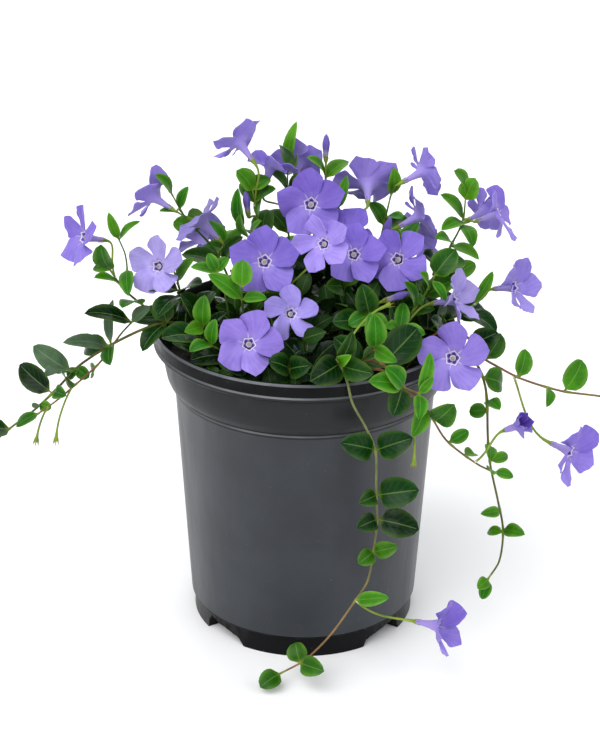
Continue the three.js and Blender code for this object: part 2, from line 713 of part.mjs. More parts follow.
// Rings round a line of centres, each turned as little as can be from the one before.
function tubeRings(centres, radiusAt, sides) {
  const last = centres.length - 1;
  let side = null;
  return centres.map((centre, i) => {
    const before = centres[Math.max(i - 1, 0)];
    const after = centres[Math.min(i + 1, last)];
    const along = after.clone().sub(before).normalize();
    side = side ? turnedTo(side, along) : square(along);
    return circle(centre, side, along, radiusAt(i / last), sides);
  });
}

// A direction square to another one, level where it can be.
function square(along) {
  const side = new THREE.Vector3().crossVectors(along, UP);
  return side.length() > 0.1 ? side.normalize() : new THREE.Vector3(1, 0, 0);
}

// The direction nearest to another one that is square to a line.
function turnedTo(side, along) {
  return sum(side, [along, -side.dot(along)]).normalize();
}

function circle(centre, side, along, radius, sides, turn = 0) {
  const other = new THREE.Vector3().crossVectors(along, side);
  return Array.from({ length: sides }, (_, i) => {
    const angle = (2 * Math.PI * i) / sides + turn;
    return sum(centre, [side, radius * Math.cos(angle)], [other, radius * Math.sin(angle)]);
  });
}

// A stalk with a calyx on its end: a goblet with five teeth.
function stalkSolid(start, out, end, facing, hold) {
  const bend = new THREE.CubicBezierCurve3(start, start.clone().add(out), sum(end, [facing, -hold]), end);
  const rings = tubeRings(
    bend.getPoints(STALK.steps),
    (share) => lerp(STALK.radius, CALYX.neck, share ** 3),
    STALK.sides,
  );
  const side = turnedTo(rings.at(-1)[0].clone().sub(end), facing);
  const ringAt = (height, radius, turn) =>
    circle(sum(end, [facing, height]), side, facing, radius, TEETH, turn);
  const teeth = ringAt(CALYX.toothAt, CALYX.tooth, 0);
  const notches = ringAt(CALYX.notchAt, CALYX.notch, Math.PI / TEETH);
  const star = teeth.flatMap((tooth, i) => [tooth, notches[i]]);
  const skin = new Skin();
  skin.loft([...rings, star, [sum(end, [facing, CALYX.seat])]]);
  return solid(skin.geometry());
}

// Leaves
// A leaf lies along a chord from its root to its tip, with its upper face turned to the light.
function leafFrame(stem, place, tip, width) {
  const root = stem.at(place);
  const chord = tip.clone().sub(root);
  const length = chord.length();
  const along = chord.normalize();
  const outward = new THREE.Vector3(root.x, root.y, 0).normalize();
  const light = sum(
    UP.clone().multiplyScalar(LIGHT.up),
    [outward, LIGHT.outward],
    [FRONT, LIGHT.front],
    [stem.along(place), LIGHT.along],
  );
  const face = turnedTo(light, along);
  return { root, along, face, across: new THREE.Vector3().crossVectors(along, face), length, width };
}

// The same leaf lifted towards its upper face and swung to its side, with a share of its length.
function bent(leaf, [lift, swing, share]) {
  const turned = (from, to, angle) => [
    sum(from.clone().multiplyScalar(Math.cos(angle)), [to, Math.sin(angle)]),
    sum(to.clone().multiplyScalar(Math.cos(angle)), [from, -Math.sin(angle)]),
  ];
  const [raised, face] = turned(leaf.along, leaf.face, radians(lift));
  const [along, across] = turned(raised, leaf.across, radians(swing));
  return { ...leaf, along, face, across, length: leaf.length * share };
}

// Half the blade's width at a share of its length: a wedge at the root, widest before the middle.
function halfWidth(leaf, u) {
  const blade = (leaf.width / 2) * Math.sin(Math.PI * u ** 0.78) ** 0.65;
  return Math.max(blade, LEAF.petiole * (1 - u));
}

// A point of the arched and folded blade, u along it and v across it from -1 to 1.
function leafPoint(leaf, u, v, above) {
  const out = v * halfWidth(leaf, u);
  const height = LEAF.arch * leaf.length * 4 * u * (1 - u) + LEAF.fold * Math.abs(out) + above;
  return sum(leaf.root, [leaf.along, u * leaf.length], [leaf.across, out], [leaf.face, height]);
}

// The blade from a share of its length to its tip, grown on all sides by some clearance.
function bladeSolid(leaf, from, grow) {
  const grown = { ...leaf, width: leaf.width + 2 * grow, length: leaf.length + grow };
  const half = LEAF.thickness / 2 + grow;
  const [, whole] = BLADES.find(([widest]) => leaf.width <= widest);
  const stations = from > 0 ? [[from, [-1, 1]], ...whole.slice(1)] : whole;
  const skin = new Skin();
  const rows = (above) => stations.map(([u, row]) => skin.row(row.map((v) => leafPoint(grown, u, v, above))));
  const upper = rows(half);
  const lower = rows(-half);
  for (let i = 0; i < stations.length - 1; i += 1) {
    skin.stitch(upper[i], upper[i + 1]);
    skin.stitch(lower[i], lower[i + 1], true);
  }
  const edge = (side) => [
    ...side.map((row) => row.at(-1)),
    ...side.slice(from > 0 ? 0 : 1, -1).map((row) => row[0]).reverse(),
  ];
  skin.stitchRings(edge(lower), edge(upper));
  return solid(skin.geometry());
}

// Blooms
// A corolla's own directions: to its right, up and out of its face.
function corollaFrame(facing) {
  const right = sum(new THREE.Vector3(1, 0, 0), [facing, -facing.x]).normalize();
  return { right, up: new THREE.Vector3().crossVectors(facing, right), facing };
}

// A tube that opens into five petals, each a wedge with a slanting end, all turned the same way.
function corollaSolid(throat, facing, { reach, turn, cup, slim = 1 }) {
  const frame = corollaFrame(facing);
  const mouth = FLOWER.mouth * reach;
  const slope = radians(cup);
  const at = (share, degrees, lift, above) => {
    const angle = radians(degrees);
    const radial = sum(frame.right.clone().multiplyScalar(Math.cos(angle)), [frame.up, Math.sin(angle)]);
    const beyond = Math.max(share * reach - mouth, 0);
    const out = Math.min(share * reach, mouth) + beyond * Math.cos(slope) - above * Math.sin(slope);
    const height = beyond * Math.sin(slope) + lift * reach + above * Math.cos(slope);
    return sum(throat, [radial, out], [facing, height]);
  };
  const skin = new Skin();
  const side = (above, inner) => {
    const rows = { outline: [], inner: [] };
    for (let petal = 0; petal < 5; petal += 1) {
      const middle = turn + 72 * petal;
      rows.inner.push(...skin.row([at(inner, middle - 36, 0, above)]));
      rows.outline.push(...skin.row([
        at(FLOWER.sinus, middle - 36, 0, above),
        ...PETAL.map(([degrees, share, lift]) =>
          at(share, middle + degrees * slim, lift * FLOWER.pitch, above),
        ),
      ]));
    }
    return rows;
  };
  const upper = side(PETAL_THICKNESS / 2, FLOWER.mouth);
  const lower = side(-PETAL_THICKNESS / 2, FLOWER.tubeTop);
  for (let petal = 0; petal < 5; petal += 1) {
    const next = (petal + 1) % 5;
    const corners = (rows) => {
      const outline = [...rows.outline, rows.outline[0]].slice(4 * petal, 4 * petal + 5);
      return [...outline, rows.inner[next], rows.inner[petal]];
    };
    skin.cap(corners(upper), false);
    skin.cap(corners(lower), true);
  }
  skin.stitchRings(lower.outline, upper.outline);
  const deep = skin.row([sum(throat, [facing, -THROAT_DEPTH])]);
  skin.stitchRings(upper.inner, deep);
  const end = skin.row(Array.from({ length: 5 }, (_, i) => {
    const angle = radians(turn + 72 * i - 36);
    const [x, y] = [FLOWER.tubeEnd * Math.cos(angle), FLOWER.tubeEnd * Math.sin(angle)];
    return sum(throat, [facing, -FLOWER.tube], [frame.right, x], [frame.up, y]);
  }));
  skin.stitchRings(end, lower.inner);
  skin.cap(end, true);
  return solid(skin.geometry());
}

// A closed bud: petals wound round each other into a spindle.
function budSolid(middle, facing) {
  const { right, up } = corollaFrame(facing);
  const foot = sum(middle, [facing, -BUD.length / 2]);
  const rings = BUD.rings.map(([share, radius]) =>
    Array.from({ length: 5 }, (_, i) => {
      const angle = radians(72 * i + BUD.twist * share);
      const [x, y] = [radius * Math.cos(angle), radius * Math.sin(angle)];
      return sum(foot, [facing, share * BUD.length], [right, x], [up, y]);
    }),
  );
  const skin = new Skin();
  skin.loft([...rings, [sum(foot, [facing, BUD.length])]]);
  return solid(skin.geometry());
}

// Placing: what stands is kept with its box, and each new blade has to keep clear of it.
const standing = [];

function boxOf(body) {
  const { min, max } = body.boundingBox();
  return new THREE.Box3(vector(min), vector(max));
}

function stand(name, body, leaf = false) {
  standing.push({ name, body, box: boxOf(body), leaf });
  return body;
}

function meets(body, box, test) {
  const near = standing.filter((other) => test(other) && other.box.intersectsBox(box));
  return near.some((other) => !body.intersect(other.body).isEmpty());
}

// Whether a leaf keeps its gap to every other node, and its outer part also to its own node's leaves.
function isClear(name, leaf) {
  const whole = bladeSolid(leaf, 0, GAP);
  const box = boxOf(whole);
  if (box.min.z < GAP || meets(whole, box, (other) => other.name !== name)) return false;
  const outer = bladeSolid(leaf, LEAF.free, GAP);
  return !meets(outer, boxOf(outer), (other) => other.leaf && other.name === name);
}

// Adds the first bend of a leaf that is clear, or leaves it out where it has no room.
function grow(name, leaf) {
  const free = BENDS.map((bend) => bent(leaf, bend)).find((one) => isClear(name, one));
  return free ? [stand(name, bladeSolid(free, 0, 0), true)] : [];
}

// The rows of opposite leaves of a stem, each pair square to the one below it.
function pairedLeaves(stem, { from, to, count, long, wide, turn }, draw) {
  const leaves = [];
  for (let i = 0; i < count; i += 1) {
    const share = i / (count - 1);
    const place = lerp(from, to, share);
    const along = stem.along(place);
    const aim = radians(turn + SPREAD.turn * i + draw(-15, 15));
    for (const opposite of [0, Math.PI]) {
      const side = square(along).applyAxisAngle(along, aim + opposite);
      const spread = radians(lerp(SPREAD.foot, SPREAD.tip, share) + draw(-SPREAD.stray, SPREAD.stray));
      const way = sum(side.multiplyScalar(Math.sin(spread)), [along, Math.cos(spread)], [UP, LIGHT.lift]);
      const tip = sum(stem.at(place), [way.normalize(), lerp(...long, share) * draw(0.9, 1.1)]);
      leaves.push(leafFrame(stem, place, tip, lerp(...wide, share)));
    }
  }
  return leaves;
}

// A bloom's or bud's body and the stalk that carries it.
function bloomOn(stem, [name, place, middle, facing, look]) {
  const face = vector(facing).normalize();
  const centre = vector(middle);
  const behind = CALYX.tubeAt + (look.bud ? BUD.length / 2 : FLOWER.tube);
  const end = sum(centre, [face, -behind]);
  const body = look.bud ? budSolid(centre, face) : corollaSolid(centre, face, look);
  return { name, body, stalk: stalkOn(stem, place, end, face, look) };
}

// A stalk leaves the stem upwards, or by the handle out, and comes to its end from behind, hold long.
function stalkOn(stem, place, end, facing, { out, hold }) {
  const start = stem.at(place);
  const reach = STALK.hold * start.distanceTo(end);
  const lean = sum(end.clone().sub(start).multiplyScalar(STALK.hold), [stem.along(place), STALK.lean]);
  return stalkSolid(start, out ? vector(out) : lean, end, facing, hold ?? reach);
}

// Builds every sprig's stems and stalks first, then the listed leaves, then the rows of pairs.
function buildPlant() {
  const greens = new Map();
  const violets = new Map();
  const listed = [];
  const rows = [];
  const draw = draws(SEED);
  for (const [name, stems] of Object.entries(SPRIGS)) {
    const bodies = [];
    for (const row of stems) {
      const stem = new Stem(row);
      bodies.push(stem.solid());
      for (const bloom of row.blooms ?? []) {
        const { name: own, body, stalk } = bloomOn(stem, bloom);
        bodies.push(stalk);
        violets.set(own, stand(own, body));
      }
      for (const calyx of row.calyces ?? []) {
        bodies.push(stalkOn(stem, calyx.at, vector(calyx.end), vector(calyx.facing).normalize(), calyx));
      }
      for (const [at, tip, width] of row.leaves ?? []) {
        listed.push([name, leafFrame(stem, at, vector(tip), width)]);
      }
      if (row.pairs) rows.push(...pairedLeaves(stem, row.pairs, draw).map((leaf) => [name, leaf]));
    }
    greens.set(name, stand(name, joined(bodies)));
  }
  for (const [name, leaf] of [...listed, ...rows]) {
    greens.set(name, joined([greens.get(name), ...grow(name, leaf)]));
  }
  return { greens, violets };
}

function joined(bodies) {
  return bodies.reduce((whole, body) => whole.add(body));
}

function addMesh(group, name, body, finish) {
  const mesh = new THREE.Mesh(geometryOf(body), new THREE.MeshStandardMaterial(finish));
  mesh.name = name;
  group.add(mesh);
}

const part = new THREE.Group();
const pot = stand("pot", potSolid());
const holes = Object.values(SPRIGS).map((stems) => holeSolid(stems[0]));
const soil = stand("soil", holes.reduce((body, hole) => body.subtract(hole), soilSolid()));
const { greens, violets } = buildPlant();
addMesh(part, "pot", pot, COLOURS.pot);
addMesh(part, "soil", soil, COLOURS.soil);
for (const [name, body] of greens) addMesh(part, name, body, COLOURS.green);
for (const [name, body] of violets) addMesh(part, name, body, COLOURS.violet);

export default part;
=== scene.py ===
"""Potted lesser periwinkle: a nursery pot of soil, leafy sprigs, trailing runners and violet blooms.

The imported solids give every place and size, and this scene dresses them: a moulded pot with its lip and
foot, crumbly soil with bark, smooth stems with veined leaves, and corollas with a funnel throat.
Sizes are in millimetres unless they say metres, and a piece's mesh becomes metres when it is finished.
"""
import logging
import random
from collections.abc import Callable, Iterable
from dataclasses import dataclass, field, replace
from enum import Enum, IntEnum
from math import asin, atan2, cos, pi, radians, sin, sqrt, tau
from typing import ClassVar

import bmesh
import bpy
from mathutils import Matrix, Quaternion, Vector, noise
from mathutils.bvhtree import BVHTree
from mathutils.kdtree import KDTree


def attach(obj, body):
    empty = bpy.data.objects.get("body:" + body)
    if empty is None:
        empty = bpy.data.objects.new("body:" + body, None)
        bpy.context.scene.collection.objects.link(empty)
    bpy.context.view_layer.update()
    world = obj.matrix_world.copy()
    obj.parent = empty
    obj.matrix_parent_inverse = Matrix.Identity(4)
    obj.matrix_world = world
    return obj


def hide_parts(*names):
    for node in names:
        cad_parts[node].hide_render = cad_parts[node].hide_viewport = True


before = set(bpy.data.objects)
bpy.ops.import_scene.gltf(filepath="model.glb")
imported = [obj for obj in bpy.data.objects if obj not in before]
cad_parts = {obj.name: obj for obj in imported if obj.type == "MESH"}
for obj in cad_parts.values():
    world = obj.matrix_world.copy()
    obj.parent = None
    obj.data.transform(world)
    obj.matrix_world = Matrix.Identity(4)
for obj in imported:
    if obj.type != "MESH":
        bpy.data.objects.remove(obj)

LOG = logging.getLogger("periwinkle")
MM = 0.001
UP = Vector((0, 0, 1))
FRONT = Vector((0, -1, 0))
RIGHT = Vector((1, 0, 0))
LIGHT = (0.7, 0.2, 0.45, 0.3)
SEED = 1906
SOFT = 60
SHEEN_AGE = 1.5
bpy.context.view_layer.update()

# LIGHT is how much a leaf's upper side looks up, outwards, to the front and along its stem. SOFT is the
# angle in degrees past which an edge of soil, leaf or petal stays sharp, and the last one the age past
# which a leaf is greyed as a painted sheen.

Place = tuple[float, float, float]
Rows = tuple[tuple[float, float], ...]
Grown = list[tuple["Leaf", float]]
Colour = tuple[float, float, float, float]
LeafRows = list[tuple[float, ...]]
Span = tuple[float, float]
Socket = bpy.types.NodeSocket
Material = bpy.types.Material
Piece = bpy.types.Object
Shape = bmesh.types.BMesh
Point = bmesh.types.BMVert


def linear(value: float) -> float:
    """A screen's channel, from 0 to 255, as a shader's linear one."""
    share = value / 255
    return share / 12.92 if share <= 0.04045 else ((share + 0.055) / 1.055) ** 2.4


def dye(red: float, green: float, blue: float) -> Colour:
    """A shader's colour from one that is given as it looks on a screen, from 0 to 255."""
    return linear(red), linear(green), linear(blue), 1.0


def clamped(value: float) -> float:
    """A value kept between 0 and 1."""
    return min(max(value, 0), 1)


def marked(colour: Colour, shown: float = 0.0) -> Colour:
    """The same colour, with its fourth value telling whether veins or the star show there."""
    return colour[0], colour[1], colour[2], shown


def blend(first: Colour, second: Colour, share: float) -> Colour:
    """Mixes two colours, keeping the first one's fourth value.

    Args:
        first: The colour at share 0.
        second: The colour at share 1.
        share: How much of the second one.

    Returns:
        The mixed colour.
    """
    share = clamped(share)
    mixed = [a + (b - a) * share for a, b in zip(first[:3], second[:3])]
    return mixed[0], mixed[1], mixed[2], first[3]


def lerp(first: float, second: float, share: float) -> float:
    """A number part of the way between two others."""
    return first + (second - first) * share


def through(stops: Iterable[Span], place: float) -> float:
    """Reads a value off a row of stops, straight between them.

    Args:
        stops: Pairs of place and value, in order of place.
        place: Where to read.

    Returns:
        The value there.
    """
    rows = list(stops)
    for (start, low), (end, high) in zip(rows, rows[1:]):
        if place <= end:
            return lerp(low, high, max(place - start, 0) / (end - start))
    return rows[-1][1]


# The plant's parts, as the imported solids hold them


@dataclass(frozen=True)
class Look:
    """How a bloom is turned and opened.

    Attributes:
        reach: From the throat to the petals' ends.
        turn: Degrees that the first petal is turned round the throat.
        cup: Degrees that the petals rise from flat.
        slim: The petals' width as a share of the usual one.
        full: How far out they stay wide, from 1 for petals that part early to 1.2 for ones that lap.
        tube: How far its tube stands out of the calyx.
        folded: The petals that are folded lengthwise, counted round from the first one.
        bud: Whether it is still closed.
        out, hold: The stalk's handles, at its foot where it leaves the stem sideways and behind the bloom.
    """

    reach: float = 16
    turn: float = 0
    cup: float = 0
    slim: float = 1
    full: float = 1.2
    tube: float = 11
    folded: tuple[int, ...] = ()
    bud: bool = False
    out: Place | None = None
    hold: float | None = None


@dataclass(frozen=True)
class Bloom:
    """A bloom or bud on its stem.

    Attributes:
        name: The node's name.
        at: Its place on the stem.
        centre, facing: Its throat, and where it faces.
        look: How it is turned and opened.
    """

    name: str
    at: float
    centre: Place
    facing: Place
    look: Look

    @property
    def ahead(self) -> Vector:
        """The direction that it faces."""
        return Vector(self.facing).normalized()


@dataclass(frozen=True)
class Calyx:
    """A calyx that has dropped its corolla.

    Attributes:
        at: Its place on the stem.
        end, facing: The stalk's end, and where the calyx opens.
        out: The handle at the stalk's foot.
    """

    at: float
    end: Place
    facing: Place
    out: Place


@dataclass(frozen=True)
class Pairs:
    """A row of opposite leaves along a stem.

    Attributes:
        start, end: The places of the lowest and of the highest pair.
        count: How many pairs there are.
        long, wide: The leaves' length and width, at the lowest and at the highest pair.
        turn: Degrees that the lowest pair is turned round the stem.
        stray: Degrees that a pair may be off its turn.
        spread, loose: Degrees between leaf and stem, low and high, and how far a leaf may be off them.
        lift: How much it reaches up.
        vary: The least and the greatest share of its length that it has.
    """

    stray: ClassVar[float] = 15
    spread: ClassVar[Span] = (72, 46)
    loose: ClassVar[float] = 8
    lift: ClassVar[float] = 0.25
    vary: ClassVar[Span] = (0.9, 1.1)

    start: float
    end: float
    count: int
    long: Span
    wide: Span
    turn: float


class Bark(Enum):
    """What a stem's skin looks like, at its foot and towards its end."""

    GREEN = (dye(74, 104, 34), dye(84, 116, 40))
    OLIVE = (dye(104, 100, 48), dye(96, 104, 44))
    TAN = (dye(124, 132, 84), dye(148, 104, 72))
    RED = (dye(142, 98, 72), dye(122, 100, 58))


@dataclass(frozen=True)
class Branch:
    """A stem with what it carries. Places along it count its points.

    Attributes:
        route: The points it goes through.
        radius: At its foot and at its end.
        leaves: Place, tip and width of each listed leaf, what is added to its age, and how far it is grown.
        pairs: Its row of opposite leaves.
        blooms: Its blooms and buds.
        calyces: Its empty calyces.
        bark: Its skin.
        shade: Added to its leaves' age, from -1 for young to 1 for old, and more for a grey painted sheen.
    """

    route: list[Place]
    radius: Span
    leaves: LeafRows = field(default_factory=list)
    pairs: Pairs | None = None
    blooms: list[Bloom] = field(default_factory=list)
    calyces: list[Calyx] = field(default_factory=list)
    bark: Bark = Bark.GREEN
    shade: float = 0


# The plant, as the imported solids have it.
SPRIGS: dict[str, list[Branch]] = {
    "runner_left": [Branch(
        [(-47, -8, 137), (-47, -8, 153), (-55, -9, 166), (-67, -11, 172), (-80, -16, 172), (-99, -20, 164),
         (-117, -24, 153), (-130, -28, 140), (-143, -30, 128), (-152, -30, 121), (-160, -30, 114)],
        (1.4, 0.9), bark=Bark.OLIVE, shade=0.5, pairs=Pairs(2.2, 3.4, 2, (21, 20), (13, 12), 20),
        leaves=[(5.1, -100, -9, 184, 6, 1.6), (5.2, -123, -34, 171, 9, 1.6), (5.15, -117, -8, 156, 12),
                (5.1, -100, -36, 159, 9), (6.3, -142, -15, 160, 12, 1.6), (6.3, -132, -41, 156, 12, 1.6),
                (7.1, -150, -12, 148, 13), (7, -122, -42, 144, 8), (9.3, -168, -37, 120, 12)],
    ), Branch(
        [(-99, -20, 164), (-95, -18, 169), (-90, -16, 174)], (0.9, 0.7), bark=Bark.OLIVE, shade=0.5,
        leaves=[(2, -113, -25, 183, 12), (2, -80, -14, 182, 8, 1.6)],
    ), Branch(
        [(-99, -20, 164), (-106, -30, 157), (-116, -35, 149), (-127, -38, 140), (-137, -40, 133)],
        (0.9, 0.7), bark=Bark.RED, shade=0.6,
        leaves=[(2.2, -122, -46, 160, 9), (1.2, -110, -22, 147, 8), (4, -148, -46, 128, 7)],
        calyces=[Calyx(2.4, (-129, -37, 118), (-0.1, 0, -1), (-4, 0, -8)),
                 Calyx(3.5, (-139, -38, 118), (-0.2, 0, -1), (-3, 0, -4))],
    )],
    "sprig_left": [Branch(
        [(-53, 5, 137), (-53, 5, 153), (-63, 1, 167), (-79, -5, 175), (-94, -8, 189), (-101, -8, 200)],
        (1.4, 0.8), bark=Bark.OLIVE, pairs=Pairs(2.3, 3.4, 2, (22, 20), (13, 12), 60),
        leaves=[(5, -105, -12, 215, 12), (4.2, -108, -18, 200, 9), (5, -112, -4, 204, 8)],
        blooms=[Bloom("bloom_11", 4.6, (-116, 0, 215), (-0.82, -0.45, 0.3),
                      Look(17, 0, 10, full=1.08, slim=0.85))],
    ), Branch(
        [(-94, -8, 189), (-93, 0, 197), (-94, 2, 205), (-97, 4, 212)], (0.8, 0.6),
        leaves=[(3, -102, 4, 227, 5.5), (3, -89, 2, 225, 6), (1, -91, -19, 190, 8)],
    )],
    "sprig_left_top": [Branch(
        [(-34, 14, 137), (-34, 14, 155), (-38, 15, 178), (-48, 16, 202), (-63, 18, 219), (-70, 16, 233)],
        (1.4, 0.7), pairs=Pairs(1.7, 3.6, 3, (24, 16), (15, 10), 0),
        leaves=[(5, -80, 12, 244, 8), (4, -76, 6, 227, 7), (4.4, -62, 20, 236, 7)],
        blooms=[Bloom("bloom_20", 4.3, (-80, 15, 232), (-0.82, 0.42, 0.4), Look(16, 40, 10, full=1.12)),
                Bloom("bloom_19", 2.8, (-54, 5, 222), (-0.68, 0.06, 0.72), Look(16, 70, 12))],
    )],
    "sprig_top_left": [Branch(
        [(-18, 20, 137), (-18, 20, 156), (-20, 18, 188), (-25, 16, 218), (-28, 15, 236)],
        (1.4, 0.7), pairs=Pairs(1.7, 3.6, 3, (24, 15), (15, 10), 40),
        leaves=[(4, -36, 14, 247, 12, -0.9), (4, -21, 17, 246, 12, -0.7)],
        blooms=[Bloom("bloom_13", 3.5, (-35, 20, 260), (-0.58, 0.56, 0.6), Look(16, 10, 12, full=1.12)),
                Bloom("bud_2", 3.1, (-31, 12, 231), (-0.1, -0.1, 1), Look(bud=True))],
    )],
    "sprig_top": [Branch(
        [(-5, 30, 137), (-5, 30, 156), (-8, 29, 188), (-10, 33, 218), (-10, 35, 241)],
        (1.4, 0.7), pairs=Pairs(1.7, 3.5, 3, (24, 15), (15, 10), 10),
        leaves=[(4, -15, 32, 253, 8)],
        blooms=[Bloom("bloom_14", 3, (-19, 25, 245), (0.25, 0.21, 0.95), Look(15, 0, 16)),
                Bloom("bloom_15", 3.2, (-5, 44, 241), (0.1, 0.89, 0.45), Look(15, 50, 10))],
    )],
    "sprig_top_bud": [Branch(
        [(12, 34, 137), (12, 34, 156), (11, 32, 196), (10, 30, 238)],
        (1.4, 0.8), pairs=Pairs(1.5, 2.7, 3, (23, 14), (14, 10), 70),
        leaves=[(3, 1, 26, 251, 10), (3, 19, 31, 252, 10)],
        blooms=[Bloom("bud_1", 3, (10, 30, 256), (0, 0, 1), Look(bud=True))],
    )],
    "sprig_crown": [Branch(
        [(14, 12, 137), (14, 12, 156), (13, 13, 188), (13, 14, 212), (16, 14, 226)],
        (1.4, 0.8), pairs=Pairs(1.6, 3.2, 3, (22, 16), (14, 10), 30),
        leaves=[(4, 21, 16, 244, 6), (4, 8, 18, 239, 7)],
        blooms=[Bloom("bloom_01", 3.3, (2, 0, 234), (-0.1, -0.86, 0.5), Look(18, 29)),
                Bloom("bloom_16", 3.6, (32, 22, 237), (0.02, 0.88, 0.47), Look(18, 44, 14))],
    )],
    "sprig_right_top": [Branch(
        [(34, 20, 137), (34, 20, 156), (36, 20, 186), (40, 19, 212), (44, 20, 232)],
        (1.4, 0.7), pairs=Pairs(1.6, 3.2, 3, (24, 15), (15, 10), 50),
        leaves=[(4, 42, 26, 246, 8), (3.4, 50, 12, 222, 9)],
        blooms=[Bloom("bloom_17", 4, (60, 20, 245), (0.82, 0.47, 0.3), Look(15, 56, 12, full=1.12)),
                Bloom("bloom_18", 2.9, (59, 14, 223), (0.86, 0.29, 0.39), Look(16, 50, 4, full=1.12)),
                Bloom("bud_3", 2.9, (42, 5, 220), (0.25, -0.1, 0.95), Look(bud=True))],
    )],
    "sprig_right_high": [Branch(
        [(49, 2, 137), (49, 2, 155), (58, -2, 176), (66, -3, 192), (75, 4, 210), (81, 8, 222),
         (82, 8, 239)], (1.4, 0.6), pairs=Pairs(1.5, 2.5, 2, (22, 20), (14, 12), 15),
        leaves=[(6, 76, 5, 251, 11), (6, 89, 9, 250, 11), (5.1, 69, 5, 238, 10), (5, 71, -7, 227, 8),
                (4.9, 87, -7, 218, 9), (4.1, 67, -6, 219, 9), (4, 90, 0, 205, 9), (3.3, 60, -8, 210, 14),
                (3.3, 83, 9, 201, 12)],
        blooms=[Bloom("bloom_22", 5, (100, 5, 228), (0.88, -0.2, 0.41), Look(16, 43, 4, full=1.1)),
                Bloom("bloom_21", 4.7, (94, 28, 221), (0.75, 0.6, 0.25), Look(13, 24, 6, full=1.1))],
    )],
    "sprig_right_mid": [Branch(
        [(38, -6, 137), (38, -6, 155), (43, -10, 172), (51, -16, 188), (56, -16, 198)],
        (1.3, 0.7), pairs=Pairs(1.4, 2.6, 2, (22, 20), (14, 12), 40),
        leaves=[(3.2, 49, -28, 206, 10), (4, 51, -22, 211, 8), (4, 63, -12, 209, 9),
                (3.4, 60, -27, 195, 7)],
        blooms=[Bloom("bloom_08", 2.4, (46, -20, 212), (-0.3, -0.79, 0.53), Look(17, 49, 2, full=1.12))],
    )],
    "sprig_right": [Branch(
        [(42, -26, 137), (42, -26, 153), (44, -34, 168), (47, -42, 181)],
        (1.3, 0.8), pairs=Pairs(1.3, 2.4, 2, (23, 21), (15, 13), 80),
        leaves=[(3, 40, -56, 190, 8), (3, 58, -50, 186, 9), (3, 50, -34, 195, 8)],
        blooms=[Bloom("bloom_10", 2.9, (75, -35, 196), (0.8, -0.48, 0.36),
                      Look(16, 37, 26, full=1.1, slim=0.85))],
    )],
    "sprig_right_low": [Branch(
        [(59, -2, 137), (59, -2, 154), (68, -3, 168), (79, -4, 174), (88, -3, 180)],
        (1.3, 0.8), pairs=Pairs(1.6, 2.3, 2, (22, 22), (14, 14), 30),
        leaves=[(4, 98, 7, 195, 6), (3.3, 99, -18, 177, 14), (2.8, 96, 12, 172, 14),
                (2.6, 78, 16, 184, 13)],
        blooms=[Bloom("bloom_23", 4, (108, -10, 193), (0.75, -0.57, 0.32), Look(16.5, 85, 24, full=1.08))],
    )],
    "runner_right_arch": [Branch(
        [(53, -20, 137), (53, -20, 153), (63, -20, 167), (75, -20, 174), (86, -24, 168), (91, -30, 162),
         (98, -34, 159), (110, -38, 154), (130, -44, 150), (150, -48, 149), (159, -50, 148)],
        (1.3, 0.9), bark=Bark.RED,
        leaves=[(6.9, 113, -28, 166, 10), (8.1, 142, -34, 163, 13, -1), (7.7, 122, -58, 148, 6),
                (5.2, 101, -22, 172, 11, 0.5), (4.1, 98, -30, 176, 12, 0.8), (2.6, 72, -34, 182, 14, 0.4)],
        blooms=[Bloom("bloom_24", 6.7, (137, -50, 118), (0.76, -0.65, -0.08),
                      Look(17.5, 30, 14, full=1.12, out=(5, -3, -12)))],
    )],
    "runner_right_hanging": [Branch(
        [(49, -38, 137), (49, -38, 153), (58, -39, 168), (68, -41, 174), (80, -42, 170), (88, -43, 162),
         (92, -46, 150), (94, -48, 124), (96, -48, 109), (101, -46, 88), (105, -44, 69), (104, -44, 50),
         (98, -48, 41)], (1.3, 0.8), bark=Bark.OLIVE,
        leaves=[(5.4, 102, -36, 150, 13), (6.2, 98, -57, 146, 8), (6.4, 84, -44, 138, 8),
                (7.2, 94, -62, 119, 7), (7.8, 106, -38, 110, 6), (9.4, 92, -54, 84, 6),
                (10, 115, -54, 72, 8), (10.1, 98, -34, 62, 6), (12, 95, -52, 31, 7), (12, 92, -56, 40, 7),
                (3.1, 64, -56, 184, 15), (2.4, 46, -50, 178, 14)],
        blooms=[Bloom("bloom_09", 4.4, (73, -58, 174), (-0.15, -0.88, 0.41), Look(18.5, 21, 2, full=1.08))],
    )],
    "runner_right_front": [Branch(
        [(30, -53, 137), (30, -53, 153), (33, -63, 169), (40, -76, 174), (48, -82, 168), (59, -80, 157),
         (70, -77, 138), (87, -70, 121), (96, -67, 115)], (1.3, 0.7), bark=Bark.RED,
        leaves=[(5.4, 72, -88, 162, 13), (5, 57, -92, 145, 9), (6.1, 82, -70, 140, 7),
                (6.6, 84, -84, 134, 7), (8, 106, -66, 112, 6), (7.6, 94, -78, 120, 6)],
        blooms=[Bloom("bloom_26", 6.9, (104.5, -68, 141), (0.68, -0.5, 0.54),
                      Look(10.8, 30, 62, slim=1.12, tube=4.2, out=(7, 1, 4)))],
        calyces=[Calyx(4.5, (54, -84, 130), (0, 0, -1), (0, -3, -10))],
    )],
    "runner_front": [Branch(
        [(8, -47, 137), (8, -47, 153), (11, -58, 170), (16, -72, 178), (20, -80, 172), (23, -81, 160),
         (30, -80, 146), (35, -79, 133), (36, -77, 110), (37, -75, 91), (36, -74, 76), (33, -74, 55),
         (27, -75, 44), (14, -79, 25), (1, -84, 13), (-12, -88, 7)], (1.15, 0.8), bark=Bark.TAN,
        leaves=[(3.2, 3, -90, 176, 15, 0.5), (3.1, 17, -78, 196, 9, 0.9), (3.1, 27, -88, 192, 6, 0, 0.8),
